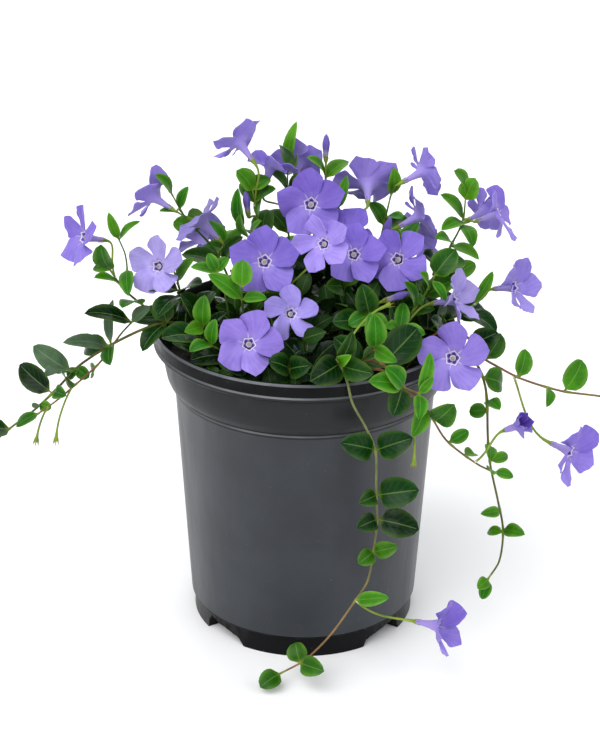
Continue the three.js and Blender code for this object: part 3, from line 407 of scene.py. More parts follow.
                (3.3, 33, -84, 184, 12, 0.4), (7, 18, -87, 141, 14, 0.3), (7, 53, -85, 143, 14, 0.3),
                (8.2, 28, -87, 108, 9, 0.7), (8.2, 57, -81, 112, 16, 0.3), (8.95, 27, -84, 92, 10, 0.8),
                (8.95, 58, -80, 89, 15, 0.3), (10.2, 28, -82, 70, 9, 0.5), (10.2, 48, -80, 79, 9, 0.5),
                (12, 44, -82, 50, 8), (14.2, -4, -78, 20, 11), (14.2, 11, -96, 14, 11),
                (15, -22, -96, 4, 11)],
        blooms=[Bloom("bloom_25", 12, (69, -88, 37), (0.86, -0.5, 0.12),
                      Look(17, 30, 30, full=1.1, out=(9, -3, -9)))],
        calyces=[Calyx(3, (40, -42, 195), (0.8, 0.6, 0.05), (5, 3, 10))],
    )],
    "sprig_front_right": [Branch(
        [(24, -42, 137), (24, -42, 153), (28, -54, 170), (34, -70, 184)], (1.4, 0.8),
        leaves=[(3, 33, -71, 203, 11, -0.9), (3, 42, -67, 200, 7), (3, 46, -80, 194, 8),
                (3, 27, -83, 187, 8), (1.8, 14, -52, 182, 14), (1.9, 44, -46, 178, 14)],
    ), Branch(
        [(28, -54, 170), (35, -65, 175), (42, -77, 175), (47, -85, 171), (55, -87, 168)],
        (1, 0.7), bark=Bark.RED, shade=-0.6,
        leaves=[(3, 29, -93, 178, 11, 0, 0.9), (3, 38, -97, 161, 11.5, 1.2, 0.84),
                (3.1, 37, -90, 185, 11, -0.3, 0.85), (4, 55, -99, 158, 8, 0, 0.85), (4, 61, -78, 186, 7),
                (4, 66, -80, 180, 5, 0, 0.6), (1.4, 56, -52, 188, 18, 1)],
    )],
    "sprig_centre": [Branch(
        [(18, -8, 137), (18, -8, 155), (19, -12, 180), (20, -14, 202)],
        (1.5, 0.9), pairs=Pairs(1.3, 2.6, 3, (23, 18), (15, 11), 0),
        blooms=[Bloom("bloom_06", 2.9, (24, -27, 217), (0, -0.86, 0.51), Look(16, 20, 2)),
                Bloom("bloom_07", 2.4, (19, -4, 219), (0.1, -0.75, 0.65), Look(16.8, 60, 6))],
    ), Branch(
        [(18, -8, 155), (22, -19, 168), (29, -32, 181), (32, -40, 189)], (1, 0.7),
        leaves=[(3, 34, -44, 206, 12), (3, 22, -48, 190, 9), (3, 41, -46, 186, 7), (2, 14, -40, 186, 13)],
        blooms=[Bloom("bud_4", 2.5, (47, -31, 196), (0.93, -0.05, 0.36), Look(bud=True))],
    )],
    "sprig_front": [Branch(
        [(-14, -24, 137), (-14, -24, 154), (-16, -26, 172), (-20, -21, 192)],
        (1.4, 0.8), pairs=Pairs(1.4, 2.7, 3, (23, 18), (15, 12), 55),
        leaves=[(3, -35, -38, 207, 11), (1.5, 0, -44, 168, 15), (1.6, -10, -48, 170, 14)],
        blooms=[Bloom("bloom_04", 2.1, (-7, -45, 192), (0.3, -0.79, 0.53),
                      Look(14.8, 26, full=1.02, slim=0.88)),
                Bloom("bloom_02", 3, (-21, -30, 214), (0, -0.85, 0.52), Look(18, 27)),
                Bloom("bloom_05", 2.6, (8, -42, 228), (-0.35, -0.85, 0.39),
                      Look(14.8, 42, 4, folded=(1, 2, 3), out=(8, -6, 18), hold=5))],
    ), Branch(
        [(-14, -24, 154), (-10, -38, 158), (-7, -52, 162), (-8, -64, 170)], (1, 0.7),
        leaves=[(3, -18, -72, 178, 12, 0.5), (3, -2, -74, 182, 12, 0.5), (2.2, 6, -68, 168, 13, 0.4),
                (2, -18, -56, 164, 13)],
    )],
    "sprig_front_left": [Branch(
        [(-31, -37, 137), (-31, -37, 154), (-38, -44, 168), (-47, -49, 176)],
        (1.3, 0.8), pairs=Pairs(1.3, 1.9, 2, (22, 22), (14, 14), 10),
        leaves=[(3, -57, -61, 179, 9), (3, -45, -48, 190, 8), (2.4, -30, -62, 166, 13),
                (2, -56, -54, 168, 14)],
        blooms=[Bloom("bloom_03", 1.6, (-28, -60, 182), (0.05, -0.8, 0.59), Look(17, 5))],
    )],
    "sprig_left_front": [Branch(
        [(-48, -27, 137), (-48, -27, 154), (-51, -32, 168), (-52, -35, 180)],
        (1.3, 0.8), pairs=Pairs(1.3, 2.2, 2, (23, 22), (14, 14), 60),
        leaves=[(3, -51, -34, 197, 10), (3, -62, -40, 188, 8), (2.4, -72, -50, 180, 16),
                (2.2, -40, -54, 176, 13)],
    )],
    "sprig_left_mid": [Branch(
        [(-46, -18, 137), (-46, -18, 154), (-55, -12, 170), (-64, -5, 184), (-67, -2, 191)],
        (1.3, 0.8), pairs=Pairs(1.4, 2.3, 2, (23, 22), (14, 13), 35),
        leaves=[(3.4, -85, -14, 184, 15), (3, -76, -24, 182, 14), (3.2, -58, -22, 194, 13),
                (4, -58, 0, 204, 9)],
        blooms=[Bloom("bloom_12", 3.6, (-77, -5, 201), (-0.4, -0.83, 0.38),
                      Look(16, 18, 8, full=1.1, out=(-1, 6, 2)))],
    )],
    "sprig_back_left": [Branch(
        [(-26, 43, 137), (-26, 43, 155), (-34, 50, 174), (-44, 56, 190)],
        (1.4, 0.8), pairs=Pairs(1.5, 2.6, 2, (25, 20), (15, 12), 20),
        leaves=[(3, -54, 62, 202, 9), (3, -40, 66, 202, 9)],
        blooms=[Bloom("bloom_27", 2.6, (-58, 68, 190), (-0.5, 0.75, 0.43), Look(16, 20, 6))],
    ), Branch(
        [(-26, 43, 155), (-20, 54, 170), (-16, 66, 182)],
        (1.1, 0.7), pairs=Pairs(0.7, 1.4, 2, (20, 18), (13, 12), 70),
        leaves=[(2, -24, 76, 194, 9), (2, -6, 74, 194, 9)],
    )],
    "sprig_back": [Branch(
        [(4, 51, 137), (4, 51, 154), (5, 63, 169), (6, 76, 175), (8, 86, 167), (12, 88, 148), (14, 86, 124),
         (10, 84, 100), (4, 84, 80)], (1.4, 0.8), pairs=Pairs(2.3, 7.2, 5, (22, 15), (14, 10), 0),
        leaves=[(8, -4, 88, 68, 8), (8, 10, 94, 72, 8)],
        blooms=[Bloom("bloom_28", 5.3, (30, 100, 128), (0.5, 0.83, 0.25), Look(16, 30, 4, out=(4, 4, -8)))],
    )],
    "sprig_back_right": [Branch(
        [(36, 43, 137), (36, 43, 155), (44, 50, 174), (52, 55, 190)],
        (1.4, 0.8), pairs=Pairs(1.5, 2.6, 2, (25, 20), (15, 12), 60),
        leaves=[(3, 62, 60, 203, 9), (3, 46, 66, 202, 9)],
        blooms=[Bloom("bloom_29", 2.6, (60, 68, 190), (0.5, 0.75, 0.43), Look(16, 40, 6))],
    ), Branch(
        [(36, 43, 155), (52, 36, 168), (68, 34, 178), (80, 36, 180)],
        (1.1, 0.7), pairs=Pairs(0.8, 2.2, 2, (24, 20), (15, 12), 10),
        leaves=[(3, 92, 42, 186, 10), (3, 82, 26, 190, 9)],
    )],
}


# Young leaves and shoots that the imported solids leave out.
MORE_LEAVES: dict[str, LeafRows] = {
    "runner_left": [(6.1, -122.5, -27, 146.4, 6.5, 0.8), (6.1, -112, -27, 147.3, 7, 0.8),
                    (7.6, -131.3, -33, 132.5, 6, 0.8), (7.6, -141, -33, 133, 5, 1.6)],
    "sprig_right_high": [(5.7, 86, 7, 246, 11, -1)],
    "sprig_top_left": [(3.1, -23, 14, 235, 6, -0.4)],
    "sprig_top": [(4, -6, 38, 266, 7, -0.8), (4, -13.5, 28, 257, 9, -0.6)],
}
MORE_SHOOTS = [Branch(
    [(-26, -30, 146), (-28, -33, 166), (-31, -39, 186), (-32, -41.5, 198), (-31.8, -44, 205.5)], (1.1, 0.8),
    leaves=[(4, -31.4, -39, 218, 11, -0.7), (3, -48.6, -44, 212.3, 10, -0.7),
            (3, -19.5, -44, 200, 7, -0.8)],
), Branch(
    [(-38, -24, 146), (-38, -27, 170), (-41, -30, 197), (-44.9, -28, 207)], (1.1, 0.8),
    leaves=[(3, -58, -28, 210.3, 6.5, -0.8), (3, -49.5, -24, 215.8, 6.5, -0.6), (3, -39.5, -25, 214, 7.5)],
), Branch(
    [(46, -24, 146), (49, -31, 172), (53, -36, 188), (60, -35, 199), (64, -32, 207)], (1.1, 0.8),
    leaves=[(2.3, 50, -41, 208, 8.5, 0.3), (3.3, 57, -39, 212, 8.5, -0.3), (4, 75, -27, 220, 13, 0),
            (3.8, 70, -40, 197, 6, -0.6)],
), Branch(
    [(-22, 17, 201), (-28, 13, 207), (-33, 13, 215)], (0.8, 0.6),
    leaves=[(2, -35.5, 12, 238, 8, -0.8), (1.4, -34.5, 8, 225, 8, -0.7), (1.2, -23.5, 8, 222, 8, -0.7)],
)]


# A leaf that would cross a neighbour was bent: lift and swing in degrees, and share of its length.
BENDS = [
    (0, 0, 1), (14, 0, 1), (-14, 0, 1), (0, 18, 1), (0, -18, 1), (14, 18, 1), (14, -18, 1), (-14, 18, 1),
    (-14, -18, 1), (30, 0, 1), (0, 36, 1), (0, -36, 1), (30, 30, 0.9), (30, -30, 0.9), (-28, 0, 0.9),
    (50, 0, 0.85), (0, 0, 0.75), (30, 0, 0.7), (-20, 30, 0.7), (-20, -30, 0.7),
]


# Finishes


class Recipe:
    """A material under construction, with short calls for the nodes that the finishes share."""

    def __init__(self, name: str) -> None:
        """Starts from a plain surface shader.

        Args:
            name: The material's name.
        """
        self.material = bpy.data.materials.new(name)
        self.material.use_nodes = True
        self.nodes = self.material.node_tree.nodes
        self.links = self.material.node_tree.links
        self.surface = self.nodes["Principled BSDF"]

    def put(self, node: bpy.types.Node, socket: str | int, value: object) -> None:
        """Links a socket into a node, or sets a constant on it."""
        if isinstance(value, Socket):
            self.links.new(value, node.inputs[socket])
        else:
            node.inputs[socket].default_value = value

    def add(self, kind: str, inputs: dict[str | int, object], output: str | int = 0) -> Socket:
        """Adds a node.

        Args:
            kind: The node's type, without its common beginning.
            inputs: Its sockets, as links or constants.
            output: Which of its results is wanted.

        Returns:
            That result.
        """
        node = self.nodes.new("ShaderNode" + kind)
        for socket, value in inputs.items():
            self.put(node, socket, value)
        return node.outputs[output]

    def surface_is(self, **settings: object) -> Material:
        """Sets the surface shader's sockets, written with _ for a space, and hands the material over."""
        for socket, value in settings.items():
            self.put(self.surface, socket.replace("_", " "), value)
        return self.material

    def here(self) -> Socket:
        """The place on the object, in metres."""
        return self.add("TexCoord", {}, "Object")

    def attribute(self, name: str, output: str = "Fac") -> Socket:
        """A value that the mesh carries."""
        result = self.add("Attribute", {}, output)
        result.node.attribute_name = name
        return result

    def grain(self, scale: float, detail: float = 4, vector: Socket | None = None,
              roughness: float = 0.55) -> Socket:
        """Noise from 0 to 1: features in a metre, finer layers, where it is read, the layers' strength."""
        sizes = {"Scale": scale, "Detail": detail, "Roughness": roughness}
        return self.add("TexNoise", {"Vector": vector or self.here(), **sizes})

    def stretched(self, x: float, y: float, z: float) -> Socket:
        """The place on the object, with each direction scaled."""
        return self.add("Mapping", {"Vector": self.here(), "Scale": (x, y, z)})

    def sum(self, operation: str, first: object, second: object = 0.0) -> Socket:
        """A sum on numbers.

        Args:
            operation: The math node's operation.
            first: Its first value.
            second: Its second value.

        Returns:
            The result.
        """
        result = self.add("Math", {0: first, 1: second})
        result.node.operation = operation
        return result

    def times(self, first: object, second: object) -> Socket:
        """A product."""
        return self.sum("MULTIPLY", first, second)

    def plus(self, first: object, second: object) -> Socket:
        """A total."""
        return self.sum("ADD", first, second)

    def less(self, first: object, second: object) -> Socket:
        """A difference."""
        return self.sum("SUBTRACT", first, second)

    def spread(self, value: Socket, source: Span, target: Span = (0, 1)) -> Socket:
        """Maps a range softly onto another.

        Args:
            value: What is mapped.
            source: Its low and high value.
            target: What they become.

        Returns:
            The mapped value.
        """
        result = self.add("MapRange", {
            "Value": value, "From Min": source[0], "From Max": source[1],
            "To Min": target[0], "To Max": target[1],
        })
        result.node.interpolation_type = "SMOOTHSTEP"
        return result

    def mix(self, share: object, first: object, second: object, way: str = "MIX") -> Socket:
        """Mixes two colours.

        Args:
            share: How much of the second one.
            first: The first colour.
            second: The second colour.
            way: The mix node's blend type.

        Returns:
            The mixed colour.
        """
        node = self.nodes.new("ShaderNodeMix")
        node.data_type = "RGBA"
        node.blend_type = way
        for socket, value in ((0, share), (6, first), (7, second)):
            self.put(node, socket, value)
        return node.outputs[2]

    def bump(self, height: Socket, strength: float, depth: float) -> Socket:
        """Fine relief, with its depth in millimetres."""
        return self.add("Bump", {"Height": height, "Strength": strength, "Distance": depth * MM})


@dataclass(frozen=True)
class MouldedPlastic:
    """Recycled pot plastic: charcoal, satin, scuffed and dusted.

    Attributes:
        name: The material's name.
        dark, light: The colours in its darker and in its lighter clouds.
        roughness: At its smoothest and at its roughest.
        gleam: How strongly it mirrors.
    """

    name: str
    dark: Colour
    light: Colour
    roughness: Span
    gleam: float

    def material(self) -> Material:
        """Builds the finish, with clouds, dust specks, fine grain and scuffs that run round and down."""
        recipe = Recipe(self.name)
        clouds = recipe.grain(28, 5)
        colour = recipe.mix(recipe.spread(clouds, (0.3, 0.7)), self.dark, self.light)
        dust = recipe.spread(recipe.grain(900, 2), (0.735, 0.8))
        colour = recipe.mix(recipe.times(dust, 0.5), colour, dye(150, 150, 146))
        scuffs = recipe.grain(60, 6, recipe.stretched(1, 1, 0.12), 0.7)
        rough = recipe.spread(scuffs, (0.3, 0.7), self.roughness)
        fine = recipe.plus(recipe.grain(2600, 2), recipe.times(scuffs, 0.6))
        return recipe.surface_is(
            Base_Color=colour, Roughness=rough, Specular_IOR_Level=self.gleam,
            Normal=recipe.bump(fine, 0.22, 0.12),
        )


@dataclass(frozen=True)
class PottingSoil:
    """Damp peat and bark crumb, almost black.

    Attributes:
        name: The material's name.
        dark, light: The colours in its hollows and of its crumbs; the dark in the bump's low places is
            partly
        the crumb's own tone and partly painted shade.
    """

    name: str
    dark: Colour
    light: Colour

    def material(self) -> Material:
        """Builds the finish, with crumbs of two sizes and a few pale fibres."""
        recipe = Recipe(self.name)
        crumbs = recipe.grain(420, 8, roughness=0.75)
        fibres = recipe.spread(recipe.grain(160, 3, recipe.stretched(1, 7, 3)), (0.68, 0.74))
        # Partly painted shade: the colour is darkest where the bump is lowest.
        colour = recipe.mix(recipe.spread(crumbs, (0.35, 0.7)), self.dark, self.light)
        colour = recipe.mix(recipe.times(fibres, 0.5), colour, dye(112, 88, 58))
        rough = recipe.spread(crumbs, (0.3, 0.8), (0.95, 0.7))
        return recipe.surface_is(
            Base_Color=colour, Roughness=rough, Specular_IOR_Level=0.25,
            Normal=recipe.bump(crumbs, 0.9, 1.6),
        )


@dataclass(frozen=True)
class LeafTissue:
    """Waxy leaves and stems, coloured by the mesh, with a pale midrib and slanting side veins.

    Attributes:
        name: The material's name.
        side_veins: How many a leaf has along each side.
        slant: How far they run forwards on their way to the margin.
        vein: The colour that a vein tends to.
        paling: How much of it the midrib and the side veins take.
    """

    name: str = "leaf_tissue"
    side_veins: float = 6
    slant: float = 1.9
    vein: Colour = dye(150, 186, 96)
    paling: Span = (0.25, 0.05)

    def material(self) -> Material:
        """Builds the finish."""
        recipe = Recipe(self.name)
        colour = recipe.attribute("dye", "Color")
        veined = recipe.attribute("dye", "Alpha")
        shine = recipe.attribute("shine")
        aside = recipe.sum("ABSOLUTE", recipe.attribute("across"))
        ahead = recipe.times(recipe.attribute("along"), self.side_veins)
        phase = recipe.sum("FRACT", recipe.less(ahead, recipe.times(aside, self.slant)))
        side = recipe.spread(recipe.sum("ABSOLUTE", recipe.less(phase, 0.5)), (0.0, 0.1), (1, 0))
        midrib = recipe.spread(aside, (0.012, 0.07), (1, 0))
        fading = recipe.spread(aside, (0.55, 0.95), (1, 0))
        side = recipe.times(recipe.times(side, fading), self.paling[1])
        lines = recipe.sum("MAXIMUM", recipe.times(midrib, self.paling[0]), side)
        lines = recipe.times(lines, veined)
        cloud = recipe.grain(120, 5)
        tone = recipe.mix(recipe.spread(cloud, (0.25, 0.75)), dye(188, 200, 190), dye(255, 255, 246))
        colour = recipe.mix(1.0, colour, tone, "MULTIPLY")
        colour = recipe.mix(lines, colour, self.vein)
        dull = recipe.spread(shine, (0, 1), (0.38, 0.16))
        rough = recipe.plus(dull, recipe.times(cloud, 0.14))
        pores = recipe.times(recipe.grain(1300, 3), 0.16)
        puckers = recipe.times(recipe.grain(260, 2), 0.5)
        height = recipe.less(recipe.plus(pores, puckers), lines)
        return recipe.surface_is(
            Base_Color=colour, Roughness=rough, Specular_IOR_Level=0.13, Subsurface_Weight=0.08,
            Subsurface_Radius=(0.5, 1.0, 0.2), Subsurface_Scale=0.6 * MM,
            Normal=recipe.bump(height, 0.4, 0.5),
        )


@dataclass(frozen=True)
class PetalTissue:
    """Velvety violet petals, coloured by the mesh, with faint streaks and a white star round the throat.

    Attributes:
        name: The material's name.
        streaks: How many lie across a petal.
        star: The colour of the ring round the throat and of the rays at the petals' joints.
        deep: The colour of the patches inside the ring.
        ring: From the middle to the inner and outer sides of the five-cornered ring, where petals reach 17.
    """

    name: str = "petal_tissue"
    streaks: float = 11
    star: Colour = dye(222, 214, 242)
    deep: Colour = dye(92, 70, 164)
    ring: Span = (2.6, 2.82)

    def material(self) -> Material:
        """Builds the finish."""
        recipe = Recipe(self.name)
        colour, upper = recipe.attribute("dye", "Color"), recipe.attribute("dye", "Alpha")
        radius, aside = recipe.attribute("along"), recipe.attribute("shine")
        across = recipe.times(recipe.attribute("across"), self.streaks)
        place = recipe.add("CombineXYZ", {0: across, 1: recipe.times(radius, 0.09), 2: 0.0})
        streak = recipe.grain(1.0, 4, place)
        cloud = recipe.grain(170, 3)
        shade = recipe.plus(recipe.times(streak, 0.55), recipe.times(cloud, 0.45))
        tone = recipe.mix(recipe.spread(shade, (0.32, 0.68)), dye(226, 221, 238), dye(255, 255, 255))
        outside = recipe.spread(radius, (4.5, 7.5))
        colour = recipe.mix(outside, colour, recipe.mix(1.0, colour, tone, "MULTIPLY"))
        slant = recipe.times(recipe.less(1.0, aside), 0.63)
        inset = recipe.times(radius, recipe.sum("COSINE", slant))
        low, high = self.ring
        inside = recipe.spread(inset, (low - 0.3, low), (1, 0))
        patch = recipe.mix(recipe.spread(aside, (0.55, 0.85), (0.0, 0.8)), self.deep, self.star)
        ring = recipe.times(
            recipe.spread(inset, (low - 0.15, low + 0.1)),
            recipe.spread(inset, (high, high + 0.35), (1, 0)),
        )
        ray = recipe.times(
            recipe.spread(aside, (0.8, 0.98), (0, 0.55)),
            recipe.spread(inset, (high, high + 4), (1, 0)),
        )
        glow = recipe.spread(inset, (high, high + 2.4), (0.1, 0))
        pale = recipe.sum("MAXIMUM", recipe.sum("MAXIMUM", ring, ray), glow)
        face = recipe.mix(inside, recipe.mix(pale, colour, self.star), patch)
        colour = recipe.mix(upper, colour, face)
        fine = recipe.plus(streak, recipe.times(recipe.grain(2400, 2), 0.25))
        return recipe.surface_is(
            Base_Color=colour, Roughness=0.62, Specular_IOR_Level=0.22, Sheen_Weight=0.08,
            Sheen_Roughness=0.5, Subsurface_Weight=0.2, Subsurface_Radius=(0.8, 0.6, 1.0),
            Subsurface_Scale=0.8 * MM, Normal=recipe.bump(fine, 0.16, 0.25),
        )


@dataclass(frozen=True)
class PaleFloor:
    """The studio's matt floor.

    Attributes:
        name: The material's name.
        colour: Its colour.
    """

    name: str = "studio_floor"
    colour: Colour = dye(252, 252, 252)

    def material(self) -> Material:
        """Builds the finish, with a faint grain."""
        recipe = Recipe(self.name)
        tone = recipe.mix(recipe.grain(30), self.colour, dye(250, 250, 250))
        return recipe.surface_is(Base_Color=tone, Roughness=0.9, Specular_IOR_Level=0.2)


# Making and finishing meshes


def applied(holder: Piece) -> bpy.types.Mesh:
    """The shape of an object in the scene, as its modifiers leave it."""
    graph = bpy.context.evaluated_depsgraph_get()
    return bpy.data.meshes.new_from_object(holder.evaluated_get(graph))


def linked(name: str, data: bpy.types.ID) -> Piece:
    """Puts a mesh or curve in the scene as an object at the origin."""
    holder = bpy.data.objects.new(name, data)
    bpy.context.scene.collection.objects.link(holder)
    return holder


def meshed(name: str, shape: Shape) -> bpy.types.Mesh:
    """Writes a shape into a new mesh and frees it."""
    mesh = bpy.data.meshes.new(name)
    shape.to_mesh(mesh)
    shape.free()
    return mesh


def grid(shape: Shape, columns: int, rows: int) -> list[Point]:
    """Adds a flat sheet that runs from -1 to 1 both ways, and gives its points."""
    return bmesh.ops.create_grid(shape, x_segments=columns, y_segments=rows, size=1)["verts"]


def tree_of(points: Iterable[Vector]) -> KDTree:
    """Builds a search tree over points.

    Args:
        points: The points, which keep their order.

    Returns:
        The tree.
    """
    rows = list(points)
    tree = KDTree(len(rows))
    for i, point in enumerate(rows):
        tree.insert(point, i)
    tree.balance()
    return tree


def finished(name: str, mesh: bpy.types.Mesh, finishes: list[Material], nodes: list[str],
             crease: float = SOFT) -> Piece:
    """Scales a mesh to metres and makes it a piece of the part.

    Args:
        name: The piece's name.
        mesh: Its mesh, in millimetres.
        finishes: Its materials, in the order of the faces' indices.
        nodes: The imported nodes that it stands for.
        crease: Degrees past which an edge stays sharp.

    Returns:
        The piece.
    """
    mesh.transform(Matrix.Scale(MM, 4))
    mesh.shade_smooth()
    mesh.set_sharp_from_angle(angle=radians(crease))
    for finish in finishes:
        mesh.materials.append(finish)
    piece = linked(name, mesh)
    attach(piece, "root")
    if nodes:
        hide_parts(*nodes)
    LOG.info("%s: %d faces", name, len(mesh.polygons))
    return piece


def spun(profile: list[Span], steps: int) -> Shape:
    """Turns a closed profile round the pot's axis.

    Args:
        profile: Its corners as radius and height, from the axis round and back to it.
        steps: How many faces go round.

    Returns:
        The closed shape.
    """
    shape = bmesh.new()
    corners = [shape.verts.new((radius, 0, height)) for radius, height in profile]
    edges = [shape.edges.new(pair) for pair in zip(corners, corners[1:])]
    bmesh.ops.spin(
        shape, geom=corners + edges, cent=(0, 0, 0), axis=(0, 0, 1), angle=tau, steps=steps,
        use_merge=True, use_duplicate=False,
    )
    bmesh.ops.remove_doubles(shape, verts=shape.verts, dist=0.001)
    bmesh.ops.recalc_face_normals(shape, faces=shape.faces)
    return shape


# Pot and soil


@dataclass(frozen=True)
class Notch:
    """The drainage notches in the pot's foot, wider at the bottom than at the top.

    Attributes:
        count: How many there are.
        first: Degrees round the pot to the first one.
        foot, top: Half a notch's angle at the bottom and at the top.
        depth: From the wall inwards.
        height: From the ground up, towards the pot's front or back and towards its sides.
        ragged: How uneven the cut is.
        sunk: How far the block starts below the ground.
        faces: How many faces lie across and up the cut.
    """

    count: int = 4
    first: float = 45
    foot: float = 14
    top: float = 10.5
    depth: float = 13
    height: Span = (3.6, 10.2)
    ragged: float = 0.5
    sunk: float = 6
    faces: tuple[int, int] = (10, 5)

    def cutter(self, turn: float, radius: float) -> Shape:
        """Makes the block that one notch takes out.

        Args:
            turn: Degrees round the pot.
            radius: The foot's radius.

        Returns:
            The block.
        """
        shape = bmesh.new()
        draw = random.Random(f"notch {turn}")
        for vert in grid(shape, *self.faces):
            share = (vert.co.y + 1) / 2
            half = radians(lerp(self.foot, self.top, share ** 2))
            rough = self.ragged * draw.uniform(-1, 1)
            around = vert.co.x * half + rough * 0.02 + radians(turn)
            sideways = abs(cos(around)) - cos(radians(self.first))
            high = lerp(*self.height, clamped(0.5 + 3 * sideways)) + rough
            away = radius + self.depth
            vert.co = (away * cos(around), away * sin(around), lerp(-self.sunk, high, share))
        grown = bmesh.ops.extrude_face_region(shape, geom=shape.faces[:])["geom"]
        for vert in (item for item in grown if isinstance(item, Point)):
            inward = (radius - self.depth) / (radius + self.depth)
            vert.co.x *= inward
            vert.co.y *= inward
        bmesh.ops.recalc_face_normals(shape, faces=shape.faces)
        return shape


class Finish(IntEnum):
    """Which finish a face of the pot has, in the order of its materials."""

    BODY = 0
    # Painted shade: the collar and the beads' lower faces are darkened.
    COLLAR_SHADE = 1
    # Painted shade: the lip and the foot are near black.
    DARK_SHADE = 2
    # Painted highlight: the beads' upper faces are lightened.
    EDGE_HIGHLIGHT = 3


@dataclass(frozen=True)
class Pot:
    """The nursery pot: tapered body, stepped foot, collar and rolled lip.

    Attributes:
        base, foot: The foot's radius and height.
        step: How far the body stands out over the foot.
        shoulder, body: The height at which the body ends, and its radius there.
        collar: The collar's radius at its bottom and top.
        lip_bottom, lip: The height of the lip's lower edge, and the lip's radius.
        height: The whole height.
        wall: The wall's thickness.
        floor: The height of its floor, which is raised over the drainage notches.
        round_steps: How many faces go round.
        edge: How much the moulded edges are rounded.
        notch: Its drainage notches.
    """

    base: float = 60.5
    foot: float = 12.2
    step: float = 1.6
    shoulder: float = 135.2
    body: float = 69.3
    collar: Span = (73.4, 75.2)
    lip_bottom: float = 159.8
    lip: float = 80
    height: float = 168.2
    wall: float = 1.6
    floor: float = 12.6
    round_steps: int = 144
    edge: float = 0.45
    notch: Notch = Notch()

    def profile(self) -> list[Span]:
        """The wall's section, out along the underside, up the outside and down the inside."""
        (low, high), edge, body, lip = self.collar, self.base + self.step, self.body, self.lip
        foot, neck, rim, top, wall = self.foot, self.shoulder, self.lip_bottom, self.height, self.wall
        return [
            (0, 0), (self.base, 0), (self.base, foot - 0.4), (edge, foot - 0.2), (edge + 0.1, foot + 0.7),
            (body - 0.15, neck - 3), (body + 0.6, neck - 1.5), (body + 0.7, neck - 0.4),
            (body + 0.1, neck + 0.4), (body + 0.3, neck + 0.9), (low - 1.2, neck + 3.2), (low, neck + 6.2),
            (high - 0.7, neck + 12), (high, rim - 1.9), (lip - 0.6, rim - 1.2), (lip + 0.1, rim - 0.4),
            (lip + 0.1, rim + 0.7), (lip - 0.6, rim + 1.5), (lip - 0.4, top - 1.2), (lip - 1.1, top),
            (lip - 2.2, top), (lip - 3, top - 0.9), (high - wall, rim - 0.8),
            (low - wall - 0.2, neck + 3.8), (body - wall, neck - 0.8), (self.base - wall, self.floor),
            (0, self.floor),
        ]

    def finish_at(self, place: Vector, normal: Vector) -> Finish:
        """Which finish a face has: a bead's upper faces lightened as a painted highlight, the collar, the
        lip and the foot darkened as painted shade, or the body.

        Args:
            place: The middle of the face.
            normal: Where it looks.

        Returns:
            The finish.
        """
        out = place.xy.length
        beads = ((self.lip_bottom + 0.7, 1.2), (self.shoulder - 0.4, 1.3), (self.height - 0.5, 0.6))
        inside = place.z > self.lip_bottom + 2 and out < self.lip - 1.2
        on_bead = any(abs(place.z - height) < reach for height, reach in beads)
        # Painted highlight on a bead's upward faces, painted shade on its other faces.
        if out > self.body - 1 and not inside and on_bead:
            return Finish.EDGE_HIGHLIGHT if normal.z > 0.25 else Finish.COLLAR_SHADE
        # Painted shade: the lip and the foot are darkened.
        if place.z < self.foot + 0.7 or (place.z > self.lip_bottom - 1.4 and out > self.body):
            return Finish.DARK_SHADE
        # Painted shade: above the shoulder the collar is darkened.
        return Finish.COLLAR_SHADE if place.z > self.shoulder else Finish.BODY

    def build(self, finishes: list[Material]) -> Piece:
        """Spins the wall, cuts the notches and rounds the edges.

        Args:
            finishes: Its materials, in the order of Finish.

        Returns:
            The piece.
        """
        holder = linked("pot_blank", meshed("pot_blank", spun(self.profile(), self.round_steps)))
        for i in range(self.notch.count):
            turn = self.notch.first + i * 360 / self.notch.count
            block = linked("notch_block", meshed("notch_block", self.notch.cutter(turn, self.base)))
            cut = holder.modifiers.new("notch", "BOOLEAN")
            cut.operation, cut.solver, cut.object = "DIFFERENCE", "EXACT", block
            mesh = applied(holder)
            holder.modifiers.clear()
            holder.data = mesh
            bpy.data.objects.remove(block)
        rounding = holder.modifiers.new("edges", "BEVEL")
        rounding.width, rounding.segments, rounding.limit_method = self.edge, 2, "ANGLE"
        rounding.angle_limit = radians(28)
        mesh = applied(holder)
        bpy.data.objects.remove(holder)
        for face in mesh.polygons:
            face.material_index = self.finish_at(face.center, face.normal)
        return finished("pot_moulded", mesh, finishes, ["pot"], crease=35)


